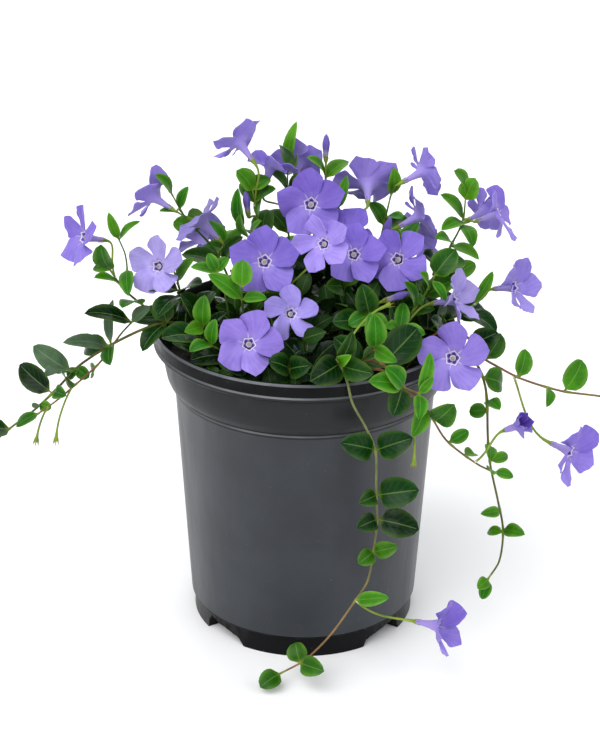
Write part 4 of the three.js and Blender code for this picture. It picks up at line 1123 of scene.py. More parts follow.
@dataclass(frozen=True)
class Soil:
    """The filling of the pot, with a lumpy top.

    Attributes:
        top: The height of its top.
        lump, crumb: How high its waves and its crumbs are.
        gap: Left to the pot's wall.
        round_steps: How many faces go round.
        chips: How many chips of bark lie on it.
        chip: The least and the greatest half length, width and height of a chip.
        rough: How far a chip's corners are off.
    """

    top: float = 149
    lump: float = 1.6
    crumb: float = 1.5
    gap: float = 0.3
    round_steps: int = 110
    chips: int = 260
    chip: Rows = ((1.2, 3.4), (0.8, 1.8), (0.5, 1.0))
    rough: float = 0.25

    def height(self, x: float, y: float) -> float:
        """The height of the top at a place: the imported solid's waves with crumbs on them."""
        waves = self.lump * sin(x / 9 + 1.3) * cos(y / 11 - 0.6)
        return self.top + waves + self.crumb * noise.fractal(Vector((x, y, 0)) / 7, 0.9, 2.1, 3)

    def edge(self, pot: Pot) -> float:
        """The radius of the top."""
        share = (self.top - pot.shoulder) / (pot.lip_bottom - pot.shoulder)
        return lerp(*pot.collar, share) - pot.wall - 2 * self.gap

    def build(self, pot: Pot, finish: Material, bark: Material) -> None:
        """Makes the filling and its chips of bark.

        Args:
            pot: The pot that holds it.
            finish: The crumb's finish.
            bark: The chips' finish.
        """
        edge, rings = self.edge(pot), 24
        low, body = pot.collar[0] - pot.wall - 0.2 - self.gap, pot.body - pot.wall - self.gap
        profile = [
            (0, pot.floor + self.gap), (pot.base - pot.wall - self.gap, pot.floor + self.gap),
            (body, pot.shoulder - 0.6), (low, pot.shoulder + 4.4),
            *((edge * (rings - i) / rings, self.top) for i in range(rings + 1)),
        ]
        shape = spun(profile, self.round_steps)
        for vert in shape.verts:
            if vert.co.z > self.top - 0.5:
                inside = min((edge - vert.co.xy.length) / 3, 1)
                vert.co.z = lerp(self.top, self.height(vert.co.x, vert.co.y), inside)
        finished("soil_filling", meshed("soil_filling", shape), [finish], ["soil"])
        draw = random.Random(SEED)
        shape = bmesh.new()
        for _ in range(self.chips):
            turn, out = draw.uniform(0, tau), (edge - 4) * sqrt(draw.random())
            x, y = out * cos(turn), out * sin(turn)
            size = [draw.uniform(*span) for span in self.chip]
            tilt = Quaternion([draw.gauss(0, 1) for _ in range(4)]).normalized().to_matrix().to_4x4()
            place = Matrix.Translation((x, y, self.height(x, y) + 0.2)) @ tilt @ Matrix.Diagonal((*size, 1))
            chip = bmesh.ops.create_icosphere(shape, subdivisions=1, radius=1, matrix=place)["verts"]
            for vert in chip:
                vert.co += Vector([draw.uniform(-self.rough, self.rough) for _ in range(3)])
        finished("bark_chips", meshed("bark_chips", shape), [bark], [], crease=20)


# Stems


class Stem:
    """The line of a stem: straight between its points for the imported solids, smooth for the eye."""

    def __init__(self, branch: Branch) -> None:
        """Takes the route over.

        Args:
            branch: The stem's row.
        """
        self.points = [Vector(place) for place in branch.route]
        self.radius = branch.radius
        ends = [self.points[0], *self.points, self.points[-1]]
        self.headings = [(after - before).normalized() for before, after in zip(ends, ends[2:])]

    def stretch(self, place: float) -> tuple[int, float]:
        """The point before a place, and how far the place lies beyond it."""
        first = min(int(place), len(self.points) - 2)
        return first, place - first

    def straight(self, place: float) -> Vector:
        """The place on the straight stretches."""
        first, beyond = self.stretch(place)
        return self.points[first].lerp(self.points[first + 1], beyond)

    def heading(self, place: float) -> Vector:
        """The direction of the straight stretch at a place."""
        first, _ = self.stretch(place)
        return (self.points[first + 1] - self.points[first]).normalized()

    def smooth(self, place: float) -> Vector:
        """The place on the smooth stem.

        Args:
            place: How many points along.

        Returns:
            The point there.
        """
        first, t = self.stretch(place)
        start, end = self.points[first], self.points[first + 1]
        pull = 0.85 * (end - start).length
        out, into = self.headings[first] * pull, self.headings[first + 1] * pull
        return (
            start * (2 * t ** 3 - 3 * t ** 2 + 1) + out * (t ** 3 - 2 * t ** 2 + t)
            + end * (3 * t ** 2 - 2 * t ** 3) + into * (t ** 3 - t ** 2)
        )


def square(heading: Vector) -> Vector:
    """A direction square to another one, level where it can be."""
    side = heading.cross(UP)
    return side.normalized() if side.length > 0.1 else RIGHT


def turned_to(side: Vector, line: Vector) -> Vector:
    """The direction nearest to another one that is square to a line."""
    return (side - line * side.dot(line)).normalized()


def axes(facing: Vector) -> tuple[Vector, Vector]:
    """Two directions square to a facing: to the right and above."""
    right = turned_to(RIGHT, facing)
    return right, facing.cross(right)


def stood(place: Vector, heading: Vector, axis: str = "Z") -> Matrix:
    """The transform that stands a shape at a place, with one of its axes along a heading."""
    return Matrix.Translation(place) @ heading.to_track_quat(axis, "Y").to_matrix().to_4x4()


# Leaves


@dataclass(frozen=True)
class Leaf:
    """A leaf that lies along a chord from its root to its tip, arched and folded along its midrib.

    Attributes:
        root: Where it leaves the stem.
        along: From its root to its tip.
        face: Out of its upper side.
        across: From its midrib to its right margin.
        length, width: Of its chord, and of its blade at the widest.
        shift: From the straight stem to the smooth one.
        stalk: The share of its length that is stalk.
        stem: Half the stalk's width at its foot.
        blunt: How pointed its ends are, for a slender leaf and for a broad one.
        arch: How high its middle stands, as a share of its length.
        fold: How steeply its halves rise from the midrib, and how much they level out at the margins.
        ripples: Radians that the margins' waves run along it, and between its two sides.
    """

    stalk: ClassVar[float] = 0.07
    stem: ClassVar[float] = 0.45
    blunt: ClassVar[Span] = (0.6, 0.42)
    arch: ClassVar[float] = 0.1
    fold: ClassVar[Span] = (0.42, 0.45)
    ripples: ClassVar[Span] = (8, 2.5)

    root: Vector
    along: Vector
    face: Vector
    across: Vector
    length: float
    width: float
    shift: Vector = Vector((0, 0, 0))

    def tip(self, above: float = 0) -> Vector:
        """The tip, or a place above it."""
        return self.root + self.along * self.length + self.face * above

    def bent(self, bend: tuple[float, float, float]) -> "Leaf":
        """The same leaf lifted towards its upper side and swung to its margin.

        Args:
            bend: Lift and swing in degrees, and share of its length.

        Returns:
            The bent leaf.
        """
        lift, swing, share = radians(bend[0]), radians(bend[1]), bend[2]
        raised = self.along * cos(lift) + self.face * sin(lift)
        face = self.face * cos(lift) - self.along * sin(lift)
        along = raised * cos(swing) + self.across * sin(swing)
        across = self.across * cos(swing) - raised * sin(swing)
        return replace(self, along=along, face=face, across=across, length=self.length * share)

    def half_width(self, u: float) -> float:
        """Half the blade's width at a share of its length: a short stalk, a round base and a blunt tip."""
        beyond = (u - self.stalk) / (1 - self.stalk)
        blunt = lerp(*self.blunt, clamped(4 * self.width / self.length - 2.2))
        blade = self.width / 2 * sin(pi * beyond ** 0.8) ** blunt if 0 < beyond < 1 else 0
        return max(blade, self.stem * (1 - u))

    def point(self, u: float, v: float, wave: float, curl: float) -> Vector:
        """A point of the blade.

        Args:
            u: Share of the length.
            v: From -1 at one margin to 1 at the other.
            wave: How much the margins undulate.
            curl: How far the tip bends down.

        Returns:
            The point.
        """
        out, (steep, level), (along, between) = v * self.half_width(u), self.fold, self.ripples
        arch = self.arch * self.length * 4 * u * (1 - u)
        fold = steep * abs(out) * (1 - level * abs(v))
        ripple = wave * abs(v) ** 2 * sin(along * u + between * v)
        height = arch + fold + ripple - curl * u ** 4
        foot = self.root + self.shift * (1 - u) ** 2
        return foot + self.along * u * self.length + self.across * out + self.face * height


def leaf_on(stem: Stem, place: float, tip: Vector, width: float) -> Leaf:
    """Lays a leaf from a stem to its tip, with its upper side to the light.

    Args:
        stem: The stem.
        place: Where on the stem.
        tip: The leaf's tip.
        width: Its width.

    Returns:
        The leaf.
    """
    root = stem.straight(place)
    chord = tip - root
    along = chord.normalized()
    outward = Vector((root.x, root.y, 0)).normalized()
    up, out, front, on = LIGHT
    face = turned_to(UP * up + outward * out + FRONT * front + stem.heading(place) * on, along)
    return Leaf(root, along, face, along.cross(face), chord.length, width, stem.smooth(place) - root)


def draws(seed: int) -> Callable[[float, float], float]:
    """A seeded stream of draws between two values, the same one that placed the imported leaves.

    Args:
        seed: Where the stream starts.

    Returns:
        A function that takes the low and high value and gives the next draw.
    """
    state, mask, stride = seed, 0xFFFFFFFF, 0x6D2B79F5

    def draw(low: float, high: float) -> float:
        """The next draw."""
        nonlocal state
        state = (state + stride) & mask
        mixed = ((state ^ (state >> 15)) * (1 | state)) & mask
        mixed ^= (mixed + (((mixed ^ (mixed >> 7)) * (61 | mixed)) & mask)) & mask
        return low + (high - low) * ((mixed ^ (mixed >> 14)) & mask) / (mask + 1)

    return draw


def paired_leaves(stem: Stem, pairs: Pairs, draw: Callable[[float, float], float]) -> list[Leaf]:
    """Lays out a stem's row of opposite leaves, each pair square to the one below it.

    Args:
        stem: The stem.
        pairs: The row.
        draw: The stream of draws.

    Returns:
        The leaves.
    """
    leaves = []
    for i in range(pairs.count):
        share = i / (pairs.count - 1)
        place = lerp(pairs.start, pairs.end, share)
        heading = stem.heading(place)
        aim = radians(pairs.turn + 90 * i + draw(-pairs.stray, pairs.stray))
        for opposite in (0, pi):
            side = Quaternion(heading, aim + opposite) @ square(heading)
            spread = radians(lerp(*pairs.spread, share) + draw(-pairs.loose, pairs.loose))
            way = (side * sin(spread) + heading * cos(spread) + UP * pairs.lift).normalized()
            tip = stem.straight(place) + way * (lerp(*pairs.long, share) * draw(*pairs.vary))
            leaves.append(leaf_on(stem, place, tip, lerp(*pairs.wide, share)))
    return leaves


class Tissue:
    """The mesh of one plant piece as it grows, with a colour and vein places on each point."""

    def __init__(self) -> None:
        """Starts empty."""
        self.shape = bmesh.new()
        self.shape.verts.layers.float_color.new("dye")
        for name in ("along", "across", "shine"):
            self.shape.verts.layers.float.new(name)

    def paint(self, vert: Point, colour: Colour, along: float = 0, across: float = 0.5,
              shine: float = 0.3) -> None:
        """Gives a point its colour, its place on the leaf or petal and its gloss."""
        layers = self.shape.verts.layers
        vert[layers.float_color["dye"]] = colour
        for name, value in (("along", along), ("across", across), ("shine", shine)):
            vert[layers.float[name]] = value

    def thicken(self, faces: list[bmesh.types.BMFace], thickness: float,
                lower: Callable[[Colour], Colour]) -> None:
        """Gives sheets their thickness, and recolours their lower side.

        Args:
            faces: The sheets.
            thickness: How thick they become.
            lower: Turns an upper side's colour into a lower side's, which shows no veins or star.
        """
        known = set(self.shape.verts)
        bmesh.ops.solidify(self.shape, geom=faces, thickness=thickness)
        layer = self.shape.verts.layers.float_color["dye"]
        for vert in self.shape.verts:
            if vert not in known:
                vert[layer] = marked(lower(tuple(vert[layer])))

    def cone(self, place: Matrix, radii: Span, depth: float, sides: int) -> list[Point]:
        """Adds a tapered rod, with its radius at its foot and at its top, and gives its points."""
        return bmesh.ops.create_cone(
            self.shape, cap_ends=True, segments=sides, radius1=radii[0], radius2=radii[1], depth=depth,
            matrix=place,
        )["verts"]

    def sweep(self, centres: list[Vector], radii: list[float], tints: list[Colour], sides: int = 1) -> None:
        """Adds a round stem.

        Args:
            centres: The points along its middle.
            radii: Its radius at each.
            tints: Its colour at each.
            sides: How finely it is rounded.
        """
        curve = bpy.data.curves.new("stem_line", "CURVE")
        curve.dimensions = "3D"
        curve.bevel_depth, curve.bevel_resolution, curve.use_fill_caps = 1.0, sides, True
        line = curve.splines.new("POLY")
        line.points.add(len(centres) - 1)
        for point, centre, radius in zip(line.points, centres, radii):
            point.co, point.radius = (*centre, 1), radius
        holder = linked("stem_line", curve)
        mesh = applied(holder)
        start = len(self.shape.verts)
        self.shape.from_mesh(mesh)
        self.shape.verts.ensure_lookup_table()
        made, tree = self.shape.verts[start:], tree_of(centres)
        for vert in made:
            self.paint(vert, tints[tree.find(vert.co)[1]])
        bmesh.ops.remove_doubles(self.shape, verts=made, dist=0.002)
        bpy.data.objects.remove(holder)
        bpy.data.curves.remove(curve)
        bpy.data.meshes.remove(mesh)

    def mesh(self, name: str) -> bpy.types.Mesh:
        """Turns every closed shell outwards and hands the mesh over."""
        bmesh.ops.recalc_face_normals(self.shape, faces=self.shape.faces)
        return meshed(name, self.shape)


@dataclass(frozen=True)
class Foliage:
    """The green of the plant: stems, leaves, stalks and calyces.

    Attributes:
        young, old: The colours of a leaf, from yellowish to plain.
        grey_sheen, pale, rim: What a leaf under painted sheen, its lower side and a young leaf's margin
            tend to.
        stalk: The colour of the stalks and calyces.
        blade: A leaf's thickness.
        grids, broad: How many faces lie across and along a leaf, and the width that asks for more.
        greening: How far its colour has left the stalk's, at shares of its length.
        stalk_radii: A stalk's radius at shares of its length.
        cup, tooth: A calyx's radius at its foot and at its top, and its depth, and the same of a tooth.
        teeth, lean: How many teeth it has, and how many degrees they lean out.
        slender, knot: A stem's radius as a share of its solid's, and how much thicker it is at leaves.
    """

    young: tuple[Colour, Colour] = (dye(80, 146, 16), dye(34, 112, 4))
    old: tuple[Colour, Colour] = (dye(15, 60, 17), dye(5, 31, 11))
    # Painted sheen: the grey that a leaf takes past the sheen age stands for a glancing reflection off its
    # wax.
    grey_sheen: Colour = dye(84, 108, 86)
    pale: Colour = dye(116, 146, 84)
    stalk: Colour = dye(140, 162, 62)
    rim: Colour = dye(146, 190, 84)
    blade: float = 0.35
    broad: float = 13
    grids: tuple[tuple[int, int], ...] = ((4, 8), (6, 9))
    greening: Rows = ((0, 0), (0.06, 0.5), (0.14, 1), (1, 1))
    stalk_radii: Rows = ((0, 0.7), (0.15, 0.55), (0.85, 0.6), (1, 0.95))
    cup: tuple[float, float, float] = (0.9, 1.5, 2.2)
    tooth: tuple[float, float, float] = (0.5, 0.05, 3.4)
    teeth: int = 5
    lean: float = 14
    slender: float = 0.62
    knot: float = 1.35

    def age(self, leaf: Leaf, shade: float, draw: random.Random) -> float:
        """How old a leaf is, from 0 to 1, and to 2 under a painted sheen: wide ones are old, narrow ones
        young.
        """
        grown = clamped((leaf.width - 9) / 5 + shade + draw.uniform(-0.3, 0.3))
        return grown + (draw.uniform(0.6, 1) if shade > SHEEN_AGE else 0)

    def add_leaf(self, tissue: Tissue, leaf: Leaf, age: float, draw: random.Random,
                 faces: tuple[int, int] | None = None) -> list[bmesh.types.BMFace]:
        """Adds the sheet of one leaf.

        Args:
            tissue: What it is added to.
            leaf: The leaf.
            age: From 0 for young to 1 for old, and to 2 under a painted sheen.
            draw: The piece's draws.
            faces: How many lie across and along it, or as its width asks.

        Returns:
            The sheet's faces.
        """
        colour = blend(blend(*self.young, draw.random()), blend(*self.old, draw.random()), age)
        # Painted sheen: an age past 1 greys the leaf as a glancing reflection.
        colour = blend(colour, self.grey_sheen, age - 1)
        wave, curl = draw.uniform(0.05, 0.3) * leaf.width / 12, draw.uniform(-0.02, 0.08) * leaf.length
        shape = tissue.shape
        made = grid(shape, *(faces or self.grids[leaf.width >= self.broad]))
        for vert in made:
            u, v = (vert.co.y + 1) / 2, vert.co.x
            u = lerp(u, sin(u * pi / 2) ** 2, 0.5)
            tint = blend(self.stalk, colour, through(self.greening, u))
            tint = blend(tint, self.rim, 0.45 * abs(v) ** 6 * (1 - 0.7 * min(age, 1)) * min(u * 5, 1))
            tissue.paint(vert, marked(tint, 1.0), u, v, 0.25 + 0.75 * age * (age < SHEEN_AGE))
            vert.co = leaf.point(u, v, wave, curl)
        sheet = list({face for vert in made for face in vert.link_faces})
        tips = [vert for vert in made if (vert.co - leaf.point(1, 0, wave, curl)).length < 0.01]
        bmesh.ops.remove_doubles(shape, verts=tips, dist=0.02)
        return [face for face in sheet if face.is_valid]

    def underside(self, colour: Colour) -> Colour:
        """The colour of a leaf's lower side."""
        return blend(colour, self.pale, 0.45)

    def add_stalk(self, tissue: Tissue, stem: Stem, at: float, end: Vector, facing: Vector,
                  out: Vector, hold: float, dropped: bool = False) -> None:
        """Adds a stalk with a calyx of five narrow teeth on its end.

        Args:
            tissue: What it is added to.
            stem: The stem that it leaves.
            at: Where on the stem.
            end: The stalk's end.
            facing: Where the calyx opens.
            out: The handle at the stalk's foot.
            hold: The length of the handle at its end.
            dropped: Whether the corolla has dropped, which leaves the teeth redder.
        """
        start, handle = stem.straight(at), end - facing * hold
        first, shift = start + out, stem.smooth(at) - start
        centres, shares = [], [i / 14 for i in range(15)]
        for t in shares:
            point = (
                start * (1 - t) ** 3 + first * 3 * t * (1 - t) ** 2
                + handle * 3 * t ** 2 * (1 - t) + end * t ** 3
            )
            centres.append(point + shift * (1 - t) ** 2)
        radii = [through(self.stalk_radii, t) for t in shares]
        tissue.sweep(centres, radii, [marked(self.stalk)] * len(centres))
        made = tissue.cone(stood(end + facing * 0.9, facing), self.cup[:2], self.cup[2], 8)
        for i in range(self.teeth):
            turn = Matrix.Rotation(tau * i / self.teeth, 4, "Z")
            lean = turn @ Matrix.Rotation(radians(self.lean), 4, "Y")
            tooth = stood(end + facing * 1.6, facing) @ lean @ Matrix.Translation((0.9, 0, 1.6))
            made += tissue.cone(tooth, self.tooth[:2], self.tooth[2], 4)
        tip = dye(150, 92, 66) if dropped else dye(132, 96, 74)
        for vert in made:
            reach = (vert.co - end).dot(facing)
            tissue.paint(vert, marked(blend(self.stalk, tip, (reach - 2) / 2.4)))

    def add_branch(self, tissue: Tissue, branch: Branch, stem: Stem) -> None:
        """Adds a stem with its stalks and calyces.

        Args:
            tissue: What they are added to.
            branch: The stem's row.
            stem: Its line.
        """
        last, fine = len(branch.route) - 1, 6
        places = [i / fine for i in range(last * fine + 1)]
        knots = {round(row[0] * fine) for row in branch.leaves}
        radii = [
            lerp(*branch.radius, place / last) * self.slender * (self.knot if i in knots else 1)
            for i, place in enumerate(places)
        ]
        skins = [blend(*branch.bark.value, 2.5 * place / last - 1.4) for place in places]
        tints = [marked(blend(skin, self.stalk, 0.5 * (i in knots))) for i, skin in enumerate(skins)]
        tissue.sweep([stem.smooth(place) for place in places], radii, tints, 2)
        for bloom in branch.blooms:
            facing, look = bloom.ahead, bloom.look
            behind = Corolla.seat + (Bud.length / 2 if look.bud else look.tube)
            end, start = Vector(bloom.centre) - facing * behind, stem.straight(bloom.at)
            lean = (end - start) * 0.35 + stem.heading(bloom.at) * 4
            out = Vector(look.out) if look.out else lean
            hold = look.hold or 0.35 * (end - start).length
            self.add_stalk(tissue, stem, bloom.at, end, facing, out, hold)
        for calyx in branch.calyces:
            end, facing = Vector(calyx.end), Vector(calyx.facing).normalized()
            hold = 0.35 * (end - stem.straight(calyx.at)).length
            self.add_stalk(tissue, stem, calyx.at, end, facing, Vector(calyx.out), hold, dropped=True)


# Violets


@dataclass(frozen=True)
class Corolla:
    """A bloom: a narrow tube that opens through a funnel into five slanting petals.

    Attributes:
        petals: How many it has.
        petal: Their colour.
        deep, fair_tone_and_light: What the darker and the lighter ones tend to, at random and as painted
        light: lower petals are lightened, upper ones and the edges by the slits darkened as painted shade.
        back, outside: What the outside tends to, and how much: paler than the inside, and lightened further
        as painted light for light shining through the petals.
        funnel: The colour of the tube and funnel.
        usual: The reach that throat and dome are given for.
        throat: Radius and height of the tube and funnel.
        dome: Depth and radius of the head that closes the throat.
        seat: From the throat to the calyx, past the tube.
        pointed: A broad petal's outer edge, as shares of its reach, with one slanting corner.
        rounded: The outer edge of a narrow petal.
        sinus, mouth: Where the petals part, and where they start to rise, as shares of their reach.
        pitch: How far a petal's edges are tilted, as a share of its reach.
        sheet: The petals' thickness.
        wide: Half the angle that the narrowest and the widest petals take up.
        folded: The width of a folded petal as a share of the usual one.
        joint: Half the angle that a petal takes up where it parts from the others.
        swirl: Degrees that the petals wind on their way out of the throat.
        limb, columns: Where a petal has points, as shares of its length, and how many faces lie across it.
        reaches: The least and the greatest share of the bloom's reach that a petal has.
        droop, sway: The same of how far its end hangs back, and of its wave.
        crinkle: The depth of its finer wave.
    """

    petals: ClassVar[int] = 5
    seat: ClassVar[float] = 3.1
    usual: ClassVar[float] = 17

    petal: Colour = dye(128, 106, 200)
    deep: Colour = dye(78, 58, 150)
    fair_tone_and_light: Colour = dye(184, 168, 246)
    back: Colour = dye(182, 164, 240)
    funnel: Colour = dye(112, 98, 152)
    throat: Rows = (
        (0.9, -12.2), (1.0, -10), (1.2, -8), (1.45, -6.2), (1.7, -4.7), (1.95, -3.5), (2.25, -2.6),
        (2.7, -1.85), (3.3, -1.25), (4.2, -0.65),
    )
    pointed: tuple[float, ...] = (0.75, 0.81, 0.86, 0.93, 1.06, 0.995, 0.935, 0.89, 0.855, 0.81, 0.74)
    rounded: tuple[float, ...] = (0.72, 0.82, 0.905, 0.965, 1.0, 1.01, 1.0, 0.965, 0.9, 0.81, 0.71)
    sinus: float = 0.3
    mouth: float = 0.085
    pitch: float = 0.1
    sheet: float = 0.4
    wide: Span = (29.5, 37.0)
    folded: float = 0.62
    joint: float = 36.4
    swirl: float = 17.0
    limb: tuple[float, ...] = (0.0, 0.1, 0.24, 0.4, 0.56, 0.7, 0.82, 0.92, 1.0)
    columns: int = 10
    reaches: Span = (0.96, 1.0)
    droop: Span = (-0.06, 0.1)
    sway: Span = (0.055, 0.12)
    crinkle: float = 0.038
    outside: float = 0.52
    dome: Span = (2.7, 1.6)

    def build(self, bloom: Bloom, finish: Material) -> Piece:
        """Makes one bloom.

        Args:
            bloom: The bloom.
            finish: The petals' finish.

        Returns:
            The piece.
        """
        look, draw, tissue = bloom.look, random.Random(bloom.name), Tissue()
        facing, centre = bloom.ahead, Vector(bloom.centre)
        right, above = axes(facing)
        tint = TINTS.get(bloom.name, self.petal)
        scale, slope, full = look.reach / self.usual, radians(look.cup), (look.full - 1) / 0.2
        wide, mouth, step = lerp(*self.wide, full) * look.slim, self.mouth * look.reach, 360 / self.petals
        rows, whole = len(self.throat), []
        steps = rows + len(self.limb) - 1
        for k in range(self.petals):
            made = grid(tissue.shape, self.columns, steps)
            reach = look.reach * draw.uniform(*self.reaches)
            droop, sway, phase = draw.uniform(*self.droop), draw.uniform(*self.sway), draw.uniform(0, 6)
            peak, middle = draw.uniform(-0.05, 0.05), radians(look.turn + step * k)
            rise = (right * cos(middle) + above * sin(middle)).z
            # Painted light and shade: a petal that points down is lightened, one that points up darkened.
            own = blend(tint, self.fair_tone_and_light if rise < 0 else self.deep, (-0.34 if rise < 0 else 0.12) * rise)
            own = blend(own, draw.choice((self.fair_tone_and_light, self.deep)), draw.uniform(0, 0.1))
            folded = k in look.folded
            span = wide * (self.folded if folded else 1)
            for vert in made:
                row = round((vert.co.y + 1) / 2 * steps)
                s, t, wound = sin(vert.co.x * pi / 2), 0.0, self.swirl
                outer = row >= rows
                if outer:
                    t = self.limb[row - rows]
                    column = round((vert.co.x + 1) * self.columns / 2)
                    edge = lerp(self.rounded[column], self.pointed[column], lerp(0.35, 1, full))
                    radius = lerp(self.sinus * look.reach, edge * (1 + peak * s) * reach, t)
                    beyond = min((radius / look.reach - self.sinus) / (1 - self.sinus), 1)
                    wound = self.swirl * (1 - beyond) ** 1.6
                    half = lerp(self.joint, span, beyond ** (0.5 if folded else lerp(0.6, 1.5, full)))
                    tilt = self.pitch * (0.1 - s) * min(t * 1.5, 1)
                    ripple = sway * sin(2.6 * s + phase) * t
                    ripple += self.crinkle * sin(7 * s + 2 * phase) * t ** 2
                    ripple += 0.3 * abs(s) * t * folded
                    lift = tilt + ripple - droop * t * t + 0.03 * (1 - s * s) * t
                    lift = lift * look.reach - 0.2 * (1 - t) ** 4
                else:
                    radius, lift = self.throat[row]
                    radius, half = radius * scale, step / 2
                    lift *= scale if lift > -3 else 1
                    lift = max(lift, -look.tube - 1.2 + row * 0.05)
                beyond = max(radius - mouth, 0) if row > 6 else 0
                out = radius - beyond * (1 - cos(slope)) - lift * sin(slope) * outer
                height = beyond * sin(slope) + (lift * cos(slope) if outer else lift)
                angle = radians(look.turn + step * k + s * half - wound)
                base = blend(self.funnel, own, (radius / scale - 1) / 4 + (s * s - 0.5) * 0.3)
                # Painted shade: the inner limb darkens towards the slits between the petals.
                base = blend(base, self.deep, 0.14 * abs(s) ** 3 * (1 - t) * outer)
                tissue.paint(vert, marked(base, 1.0), radius / scale, s * 0.5 + k, abs(s))
                away = right * cos(angle) + above * sin(angle)
                vert.co = centre + away * out + facing * height
            whole += made
        bmesh.ops.remove_doubles(tissue.shape, verts=whole, dist=0.02)
        bmesh.ops.reverse_faces(tissue.shape, faces=tissue.shape.faces[:])
        petals = tissue.shape.faces[:]
        # Painted light: the lower side is paler and lightened further for light shining through the petal.
        tissue.thicken(petals, self.sheet, lambda colour: blend(colour, self.back, self.outside))
        depth, radius = self.dome
        self.add_dome(tissue, centre - facing * depth * scale, facing, radius * scale)
        return finished(bloom.name + "_petals", tissue.mesh(bloom.name), [finish], [bloom.name])

    def add_dome(self, tissue: Tissue, centre: Vector, facing: Vector, radius: float) -> None:
        """Adds the downy head that closes the throat."""
        place = stood(centre, facing) @ Matrix.Diagonal((1, 1, 0.8, 1))
        made = bmesh.ops.create_uvsphere(
            tissue.shape, u_segments=10, v_segments=6, radius=radius, matrix=place,
        )["verts"]
        for vert in made:
            edge = (vert.co - centre).cross(facing).length / radius
            tint = blend(dye(150, 142, 112), dye(210, 204, 220), 2.5 * edge - 1.2)
            tissue.paint(vert, marked(tint), self.usual, 0, 0)


@dataclass(frozen=True)
class Bud:
    """A closed bud: petals wound round each other into a spindle.

    Attributes:
        rings: Its radius at shares of its length.
        twist: Degrees that the petals wind.
        fold: How deep the furrows between them are.
        petal, foot: Its colour, and that of the tube's start.
        length, sunk: Of the whole bud, and of what sits in its calyx.
    """

    length: ClassVar[float] = 12.0
    sunk: ClassVar[float] = 1.4

    rings: Rows = ((0, 1), (0.3, 1.75), (0.62, 2.2), (0.88, 1.25), (1, 0))
    twist: float = 150
    fold: float = 0.13
    petal: Colour = dye(116, 100, 176)
    foot: Colour = dye(196, 200, 176)

    def build(self, bloom: Bloom, finish: Material) -> Piece:
        """Makes one bud.

        Args:
            bloom: The bud.
            finish: The petals' finish.

        Returns:
            The piece.
        """
        tissue, facing = Tissue(), bloom.ahead
        right, above = axes(facing)
        foot = Vector(bloom.centre) - facing * (self.length / 2 + self.sunk)
        made = bmesh.ops.create_uvsphere(tissue.shape, u_segments=30, v_segments=18, radius=1)["verts"]
        for vert in made:
            share = (1 - cos(pi * (0.5 + asin(max(-1, min(1, vert.co.z))) / pi))) / 2
            angle = atan2(vert.co.y, vert.co.x)
            lobe = (5 * angle - radians(self.twist) * share * 5 / 2) % tau / tau
            radius = through(self.rings, share) * (1 - self.fold * lobe) * min(share * 12, 1)
            tint = blend(self.foot, self.petal, share * 3.2 - 0.3)
            # Painted shade: each petal darkens towards the recess under the next one's overlapping edge.
            tint = blend(tint, Corolla.deep, 0.5 * lobe ** 3)
            tissue.paint(vert, marked(tint), Corolla.usual, lobe * 0.5)
            side = right * cos(angle) + above * sin(angle)
            vert.co = foot + facing * share * (self.length + self.sunk) + side * radius
        return finished(bloom.name + "_petals", tissue.mesh(bloom.name), [finish], [bloom.name])


# Blooms whose colour differs from the others.
TINTS = {name: dye(*shade) for name, shade in {
    "bloom_01": (120, 98, 188), "bloom_02": (126, 106, 196), "bloom_03": (144, 122, 206),
    "bloom_04": (164, 150, 224), "bloom_05": (164, 144, 222), "bloom_07": (120, 98, 192),
    "bloom_09": (138, 118, 200), "bloom_10": (160, 148, 206), "bloom_12": (178, 166, 224),
    "bloom_16": (120, 98, 188), "bloom_19": (136, 126, 184), "bloom_23": (142, 126, 204),
    "bloom_26": (76, 46, 154),
}.items()}


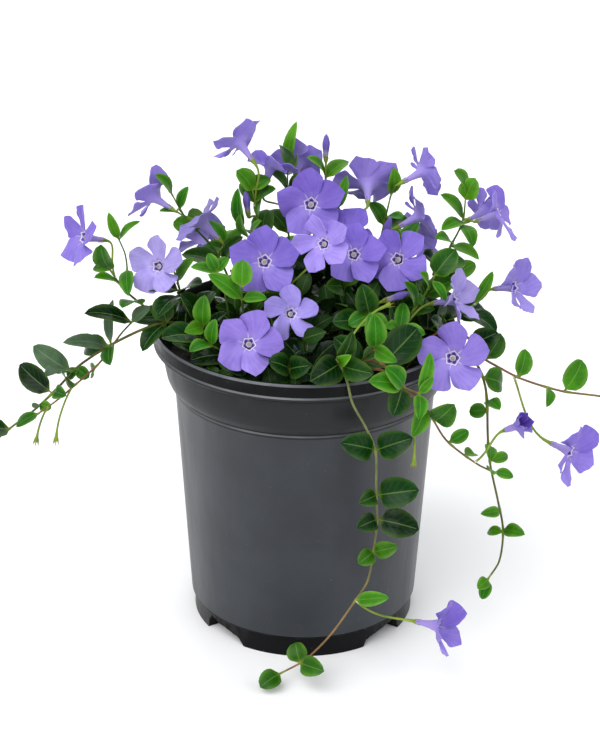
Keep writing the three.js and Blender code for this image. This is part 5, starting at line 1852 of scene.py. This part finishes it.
class Plant:
    """The whole periwinkle, built on the table of sprigs."""

    def __init__(self, foliage: Foliage, corolla: Corolla, bud: Bud) -> None:
        """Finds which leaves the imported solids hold.

        Args:
            foliage: How the green is made.
            corolla: How the blooms are made.
            bud: How the buds are made.
        """
        self.foliage, self.corolla, self.bud = foliage, corolla, bud
        self.leaves: dict[str, Grown] = {name: [] for name in SPRIGS}
        self.loose: Grown = []
        draw = draws(SEED)
        for name, branches in SPRIGS.items():
            corners = self.corners(name)
            for branch in branches:
                stem = Stem(branch)
                laid = self.listed(stem, branch.leaves, branch.shade)
                if branch.pairs:
                    laid += [(leaf, branch.shade, 1) for leaf in paired_leaves(stem, branch.pairs, draw)]
                for leaf, shade, grown in laid:
                    self.keep(name, leaf, shade, grown, corners)
            more = self.listed(Stem(branches[0]), MORE_LEAVES.get(name, []), 0)
            self.leaves[name] += [(leaf, shade) for leaf, shade, _ in more]
        count = sum(map(len, self.leaves.values()))
        LOG.info("leaves: %d in place, %d to be placed", count, len(self.loose))

    @staticmethod
    def listed(stem: Stem, rows: LeafRows, shade: float) -> list[tuple[Leaf, float, float]]:
        """Lays out a stem's listed leaves.

        Args:
            stem: The stem.
            rows: The leaves' rows.
            shade: Added to their age.

        Returns:
            Each leaf with what is added to its age, and how far it is grown.
        """
        laid = []
        for at, x, y, z, width, *more in rows:
            shift, grown = (*more, *(0, 1)[len(more):])
            laid.append((leaf_on(stem, at, Vector((x, y, z)), width), shade + shift, grown))
        return laid

    @staticmethod
    def corners(name: str) -> KDTree:
        """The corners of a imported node, in millimetres."""
        return tree_of(vert.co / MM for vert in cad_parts[name].data.vertices)

    def keep(self, name: str, leaf: Leaf, shade: float, grown: float, corners: KDTree) -> None:
        """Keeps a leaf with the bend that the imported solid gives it.

        Args:
            name: The node's name.
            leaf: The leaf before it was bent.
            shade: Added to its age.
            grown: How far it is grown.
            corners: The node's corners.
        """
        for bend in BENDS:
            bent = leaf.bent(bend)
            if any(corners.find(bent.tip(above))[2] < 0.08 for above in (0.4, -0.4)):
                self.leaves[name].append((replace(bent, length=bent.length * grown), shade))
                return
        self.loose.append((leaf, shade))

    def build(self, green: Material, violet: Material) -> list[Piece]:
        """Makes every sprig and bloom.

        Args:
            green, violet: The leaves' and the petals' finish.

        Returns:
            The pieces.
        """
        pieces = []
        for name, branches in SPRIGS.items():
            pieces.append(self.sprig(name + "_foliage", self.leaves[name], branches, green, [name]))
            for bloom in (bloom for branch in branches for bloom in branch.blooms):
                pieces.append((self.bud if bloom.look.bud else self.corolla).build(bloom, violet))
        laid = [row for shoot in MORE_SHOOTS for row in self.listed(Stem(shoot), shoot.leaves, 0)]
        young = [(leaf, shade) for leaf, shade, _ in laid]
        pieces.append(self.sprig("young_shoots", young, MORE_SHOOTS, green, []))
        return pieces

    def sprig(self, name: str, leaves: Grown, branches: list[Branch],
              green: Material, nodes: list[str]) -> Piece:
        """Makes the green of one sprig.

        Args:
            name: The piece's name.
            leaves: Its leaves, each with what is added to its age.
            branches: Its stems.
            green: The leaves' finish.
            nodes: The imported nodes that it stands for.

        Returns:
            The piece.
        """
        tissue, draw, sheets = Tissue(), random.Random(name), []
        for leaf, shade in leaves:
            sheets += self.foliage.add_leaf(tissue, leaf, self.foliage.age(leaf, shade, draw), draw)
        tissue.thicken(sheets, self.foliage.blade, self.foliage.underside)
        for branch in branches:
            self.foliage.add_branch(tissue, branch, Stem(branch))
        return finished(name, tissue.mesh(name), [green], nodes)


class Room:
    """The space that the pieces leave free.

    Attributes:
        sight: How far before a bloom nothing stands.
    """

    sight: ClassVar[float] = 45

    def __init__(self, pieces: Iterable[Piece], reach: float) -> None:
        """Takes in what is there.

        Args:
            pieces: The pieces that new leaves have to clear.
            reach: The radius that they stay within.
        """
        self.reach = reach
        self.taken: list[tuple[Vector, float, BVHTree]] = []
        for piece in pieces:
            corners = [vert.co / MM for vert in piece.data.vertices]
            self.take(corners, [tuple(face.vertices) for face in piece.data.polygons])
        rows = [bloom for sprig in SPRIGS.values() for branch in sprig for bloom in branch.blooms]
        self.faced = [(Vector(bloom.centre), bloom.ahead, bloom.look.reach) for bloom in rows]

    @staticmethod
    def ball(corners: list[Vector]) -> tuple[Vector, float]:
        """The middle of some corners, and how far the furthest one is."""
        middle = sum(corners, Vector()) / len(corners)
        return middle, max((corner - middle).length for corner in corners)

    def take(self, corners: list[Vector], faces: list[tuple[int, ...]]) -> None:
        """Notes a surface as being there."""
        self.taken.append((*self.ball(corners), BVHTree.FromPolygons(corners, faces)))

    @staticmethod
    def sheet(leaf: Leaf) -> tuple[list[Vector], list[tuple[int, ...]]]:
        """A coarse sheet of a leaf, without its foot."""
        steps, columns = (0.14, 0.35, 0.55, 0.75, 0.9, 0.99), (-1, 0, 1)
        corners = [leaf.point(u, v, 0, 0) for u in steps for v in columns]
        faces = [
            (row * 3 + i, row * 3 + i + 1, row * 3 + i + 4, row * 3 + i + 3)
            for row in range(len(steps) - 1) for i in range(2)
        ]
        return corners, faces

    def free(self, corners: list[Vector], faces: list[tuple[int, ...]]) -> bool:
        """Whether a surface crosses nothing and stands before no bloom.

        Args:
            corners: Its corners.
            faces: Its faces.

        Returns:
            True if it is free.
        """
        middle, far = self.ball(corners)
        for centre, facing, reach in self.faced:
            ahead = (middle - centre).dot(facing)
            if 0 < ahead < self.sight and (middle - centre - facing * ahead).length < reach:
                return False
        own = BVHTree.FromPolygons(corners, faces)
        return not any(
            tree.overlap(own) for centre, size, tree in self.taken if (centre - middle).length < size + far
        )

    def fitted(self, leaf: Leaf) -> Leaf | None:
        """Bends a leaf until it is free.

        Args:
            leaf: The leaf as it would lie.

        Returns:
            The leaf in its place, or None where there is no room.
        """
        for bend in BENDS:
            bent = leaf.bent(bend)
            surface = self.sheet(bent)
            if bent.tip().xy.length < self.reach and self.free(*surface):
                self.take(*surface)
                return bent
        return None


@dataclass(frozen=True)
class Undergrowth:
    """Short leafy shoots in the dark of the crown, clear of every other piece.

    Attributes:
        shoots: How many are tried.
        spread: The radius within which they stand.
        tops, fall: The lowest and the highest top in the pot's middle, and how tops fall away from there.
        gap: The least distance between two feet.
        root: How deep they stand in the soil.
        bare: To the left of here the soil stays bare.
        lean, stray: How far a top leans out, at least and at most, and how far it may be off that.
        strip: Half the width of the strip that a shoot needs.
        pair: From one pair of leaves to the next.
        long, wide: The leaves' length and width, at the lowest and at the highest pair.
        faces: How many lie across and along a leaf.
    """

    shoots: int = 260
    spread: float = 64
    tops: Span = (176, 214)
    fall: float = 0.42
    gap: float = 5.5
    root: float = 3
    bare: float = -40
    lean: Span = (-2, 9)
    stray: float = 6
    strip: float = 0.8
    pair: float = 11
    long: Span = (23, 15)
    wide: Span = (13, 8.5)
    faces: tuple[int, int] = (2, 5)

    def build(self, room: Room, soil: Soil, foliage: Foliage, plant: Plant, finish: Material) -> None:
        """Grows the shoots.

        Args:
            room: The space that is free.
            soil: What they stand in.
            foliage: How their green is made, in colours darkened as painted shade.
            plant: What stands there, with the leaves that still need a place.
            finish: The leaves' finish.
        """
        draw, tissue, sheets, feet = random.Random(SEED), Tissue(), [], []
        for leaf, shade in plant.loose:
            found = room.fitted(leaf)
            if found:
                sheets += plant.foliage.add_leaf(tissue, found, plant.foliage.age(leaf, shade, draw), draw)
        for _ in range(self.shoots):
            turn, out = draw.uniform(0, tau), self.spread * sqrt(draw.random())
            away = Vector((cos(turn), sin(turn), 0))
            foot = away * out
            foot.z = soil.height(foot.x, foot.y) - self.root
            if foot.x < self.bare or any((foot - other).length < self.gap for other in feet):
                continue
            top = foot + away * draw.uniform(*self.lean)
            top += Vector((draw.uniform(-self.stray, self.stray), draw.uniform(-self.stray, self.stray), 0))
            top.z = draw.uniform(*self.tops) - self.fall * out
            side = turned_to(RIGHT, (top - foot).normalized()) * self.strip
            low = foot.lerp(top, 0.3)
            if not room.free([low - side, low + side, top + side, top - side], [(0, 1, 2, 3)]):
                continue
            feet.append(foot)
            stem = Stem(Branch([tuple(foot), tuple(top)], (0.9, 0.6)))
            count = max(round((top.z - soil.top) / self.pair), 2)
            row = Pairs(0.4, 0.97, count, self.long, self.wide, draw.uniform(0, 180))
            found = [room.fitted(leaf) for leaf in paired_leaves(stem, row, draw.uniform)]
            for leaf in filter(None, found):
                sheets += foliage.add_leaf(tissue, leaf, foliage.age(leaf, 0.4, draw), draw, self.faces)
            self.add_stem(tissue, foot, top, foliage.stalk)
        tissue.thicken(sheets, foliage.blade, foliage.underside)
        LOG.info("undergrowth: %d shoots", len(feet))
        finished("crown_undergrowth", tissue.mesh("crown_undergrowth"), [finish], [])

    def add_stem(self, tissue: Tissue, foot: Vector, top: Vector, colour: Colour) -> None:
        """Adds a shoot's stem."""
        line = top - foot
        for vert in tissue.cone(stood((foot + top) / 2, line), (0.8, 0.45), line.length, 6):
            tissue.paint(vert, marked(colour))


@dataclass(frozen=True)
class Studio:
    """The pale floor, the soft lights and the camera.

    Attributes:
        target: What the camera looks at.
        distance, lens: From there to the camera, and its focal length.
        elevation, roll: Degrees that it looks down, and that it leans.
        floor: Half the floor's side, in metres.
        sky: How bright the room is.
    """

    target: Place = (-2.66, 0, 137.52)
    distance: float = 1001.18
    elevation: float = 24.64
    roll: float = 0.45
    lens: float = 90.14
    floor: float = 12
    sky: float = 0.62

    def camera(self) -> None:
        """Sets the camera at the photograph's angle."""
        data = bpy.data.cameras.new("photo_camera")
        data.lens, data.sensor_width, data.sensor_fit = self.lens, 36, "AUTO"
        data.clip_start, data.clip_end = 0.05, 60
        down = radians(self.elevation)
        back = Vector((0, -cos(down), sin(down)))
        holder = linked("photo_camera", data)
        place = Matrix.Translation((Vector(self.target) + back * self.distance) * MM)
        turn = Matrix.Rotation(pi / 2 - down, 4, "X") @ Matrix.Rotation(radians(self.roll), 4, "Z")
        holder.matrix_world = place @ turn
        bpy.context.scene.camera = holder

    def light(self, name: str, place: Place, size: float, power: float, far: bool = False) -> None:
        """Hangs a soft light that points at the plant.

        Args:
            name: Its name.
            place: Where it hangs, in metres.
            size: Its side in metres, or for a far one its angle in degrees.
            power: In watts, or for a far one in watts on a square metre.
            far: Whether it lights everything evenly.
        """
        data = bpy.data.lights.new(name, "SUN" if far else "AREA")
        data.energy = power
        if far:
            data.angle = radians(size)
        else:
            data.size = size
        holder = linked(name, data)
        holder.matrix_world = stood(Vector(place), Vector((0, 0, 0.15)) - Vector(place), "-Z")

    def build(self) -> None:
        """Builds the floor, the lights and the room."""
        shape = bmesh.new()
        bmesh.ops.create_grid(shape, x_segments=1, y_segments=1, size=self.floor)
        floor = linked("studio_floor", meshed("studio_floor", shape))
        floor.data.materials.append(PaleFloor().material())
        self.light("key_light", (-0.9, -1.2, 2.0), 60, 2.1, True)
        self.light("fill_light", (1.5, -1.0, 1.3), 1.6, 8)
        self.light("back_light", (0.2, 1.6, 1.8), 1.8, 18)
        world = bpy.data.worlds.new("studio_room")
        bpy.context.scene.world = world
        world.use_nodes = True
        sky = world.node_tree.nodes["Background"]
        sky.inputs["Color"].default_value = dye(250, 252, 255)
        sky.inputs["Strength"].default_value = self.sky
        view = bpy.context.scene.view_settings
        view.view_transform, view.look, view.exposure, view.gamma = "Standard", "None", 0.0, 1.0


def main() -> None:
    """Builds the studio, the pot, its soil and the plant."""
    logging.basicConfig(level=logging.INFO, format="%(name)s: %(message)s")
    studio, pot = Studio(), Pot()
    studio.camera()
    studio.build()
    plastics = [
        MouldedPlastic("pot_satin", dye(30, 34, 40), dye(40, 45, 52), (0.34, 0.48), 0.45),
        # Painted shade: a darker copy of the plastic for the collar and the beads' lower faces.
        MouldedPlastic("pot_collar_shade", dye(18, 20, 23), dye(26, 28, 31), (0.34, 0.46), 0.28),
        # Painted shade: a near-black copy of the plastic for the lip and the foot.
        MouldedPlastic("pot_dark_shade", dye(4, 5, 6), dye(9, 10, 12), (0.3, 0.42), 0.12),
        # Painted highlight: a lighter copy of the plastic for the beads' upper faces.
        MouldedPlastic("pot_edge_highlight", dye(70, 73, 77), dye(92, 95, 99), (0.3, 0.4), 0.5),
    ]
    pot.build([plastic.material() for plastic in plastics])
    soil = PottingSoil("soil_crumb", dye(14, 11, 9), dye(48, 38, 28))
    bark = PottingSoil("bark_chip", dye(30, 22, 15), dye(78, 58, 40))
    filling, green = Soil(), LeafTissue().material()
    filling.build(pot, soil.material(), bark.material())
    plant = Plant(Foliage(), Corolla(), Bud())
    pieces = plant.build(green, PetalTissue().material())
    # Painted shade: darker copies of the leaf colours for the shoots in the crown's dark interior.
    shade_painted_foliage = Foliage(
        young=(dye(56, 96, 24), dye(32, 70, 16)), old=(dye(20, 48, 18), dye(9, 27, 11)),
        pale=dye(50, 66, 40), stalk=dye(64, 78, 34), rim=dye(20, 48, 18),
    )
    Undergrowth().build(Room(pieces, filling.edge(pot) - 1), filling, shade_painted_foliage, plant, green)


if __name__ == "__main__":
    main()
